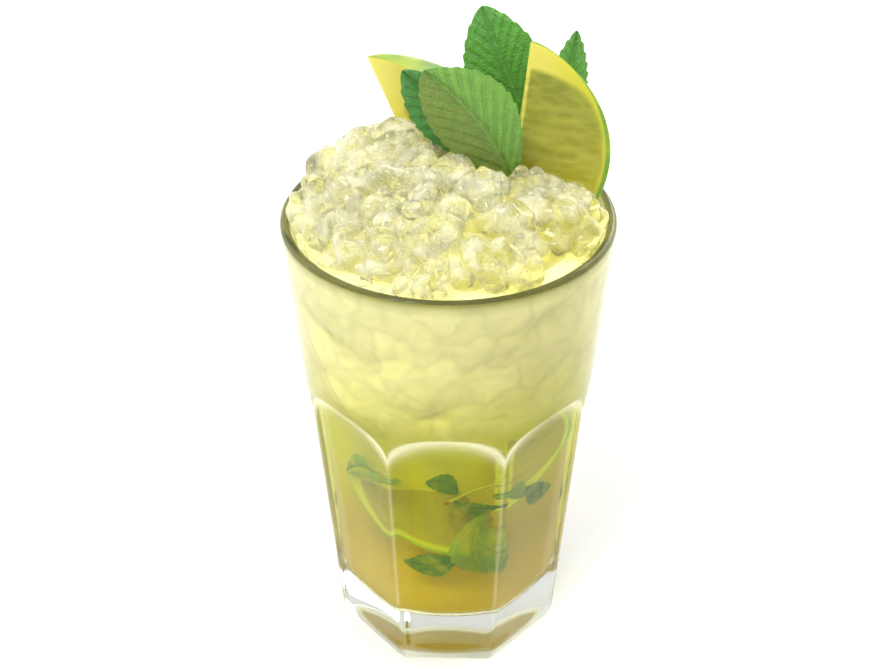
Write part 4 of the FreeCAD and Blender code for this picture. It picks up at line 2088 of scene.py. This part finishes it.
def garnish_pieces() -> list[bpy.types.Object]:
    """Builds the lime wedges and the mint that stand in the ice.

    Returns:
        The pieces.
    """
    tall = MintBlade(
        "mint_tall", rgb(106, 174, 72), rgb(100, 168, 70), rgb(128, 188, 84), rgb(78, 142, 62)
    )
    front = MintBlade(
        "mint_front", rgb(120, 172, 66), rgb(120, 142, 56), rgb(140, 172, 74), rgb(86, 126, 50)
    )
    left = MintBlade(
        "mint_left", rgb(82, 146, 64), rgb(82, 146, 64), rgb(100, 158, 72), rgb(66, 122, 56)
    )
    right = MintBlade(
        "mint_right", rgb(106, 168, 70), rgb(106, 168, 70), rgb(128, 180, 80), rgb(80, 138, 58)
    )
    parts: list[LimeWedge | MintLeaf] = [
        LimeWedge(
            "lime_right", (20.3 * MM, 14 * MM, 177.4 * MM), (13.3 * MM, -0.5 * MM, 121.7 * MM),
            (1, 0, 0), 60, node="lime_wedge_right", seed=1, pith=1.7 * MM,
            pith_at_poles=6.5 * MM,
        ),
        LimeWedge(
            "lime_left", (-20.4 * MM, 22 * MM, 169.1 * MM), (1.1 * MM, 17.2 * MM, 117.6 * MM),
            (0.75, -0.5, 0.37), 38, node="lime_wedge_left", seed=2, pith=4.4 * MM,
            pith_at_poles=15 * MM, spine=4.5 * MM,
        ),
        MintLeaf(
            "mint_tall", (23.2 * MM, 32.5 * MM, 143.5 * MM), (8.6 * MM, 35.3 * MM, 178.5 * MM),
            11 * MM, tall, widest_at=0.5, fullness=0.68, cup=0.08, roll=-8,
            node="mint_leaf_tall",
        ),
        MintLeaf(
            "mint_front", (16.2 * MM, 0.4 * MM, 144.5 * MM), (-5.7 * MM, -2 * MM, 176.5 * MM),
            10 * MM, front, widest_at=0.58, fullness=0.64, swerve=-3.2 * MM, sag=3 * MM,
            cup=-0.14, roll=8, node="mint_leaf_front",
        ),
        MintLeaf(
            "mint_left", (11.5 * MM, 6.5 * MM, 145 * MM), (-11.2 * MM, 5.5 * MM, 173.5 * MM),
            7.5 * MM, left, widest_at=0.6, swerve=-1.5 * MM, sag=1.5 * MM, cup=0.12,
            node="mint_leaf_left",
        ),
        MintLeaf(
            "mint_right", (28.4 * MM, 29.8 * MM, 144.5 * MM), (33.5 * MM, 31.8 * MM, 173.2 * MM),
            5.6 * MM, right, widest_at=0.45, sag=1.5 * MM, cup=0.12, roll=10,
            node="mint_leaf_right",
        ),
    ]
    return [part.build() for part in parts]


def main() -> None:
    """Builds the drink, piece by piece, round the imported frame."""
    logging.basicConfig(level=logging.INFO, format="%(message)s")
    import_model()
    low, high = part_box("glass")
    tumbler = Tumbler(height=high.z - low.z, lip_radius=(high.x - low.x) / 2)
    pieces = [tumbler.build()]
    surface_height = tumbler.lip_height - 0.1 * MM
    pieces += Drink(tumbler, surface_height).build()
    pieces += SunkGarnish(tumbler).build()
    garnish = garnish_pieces()
    pieces += garnish
    ice_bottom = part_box("crushed_ice")[0].z - 1 * MM
    pieces += IceHeap(tumbler, ice_bottom).build(garnish)
    for piece in pieces:
        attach(piece, "root")
        LOG.info("%s: %d faces", piece.name, len(piece.data.polygons))
    Studio().build()


if __name__ == "__main__":
    main()
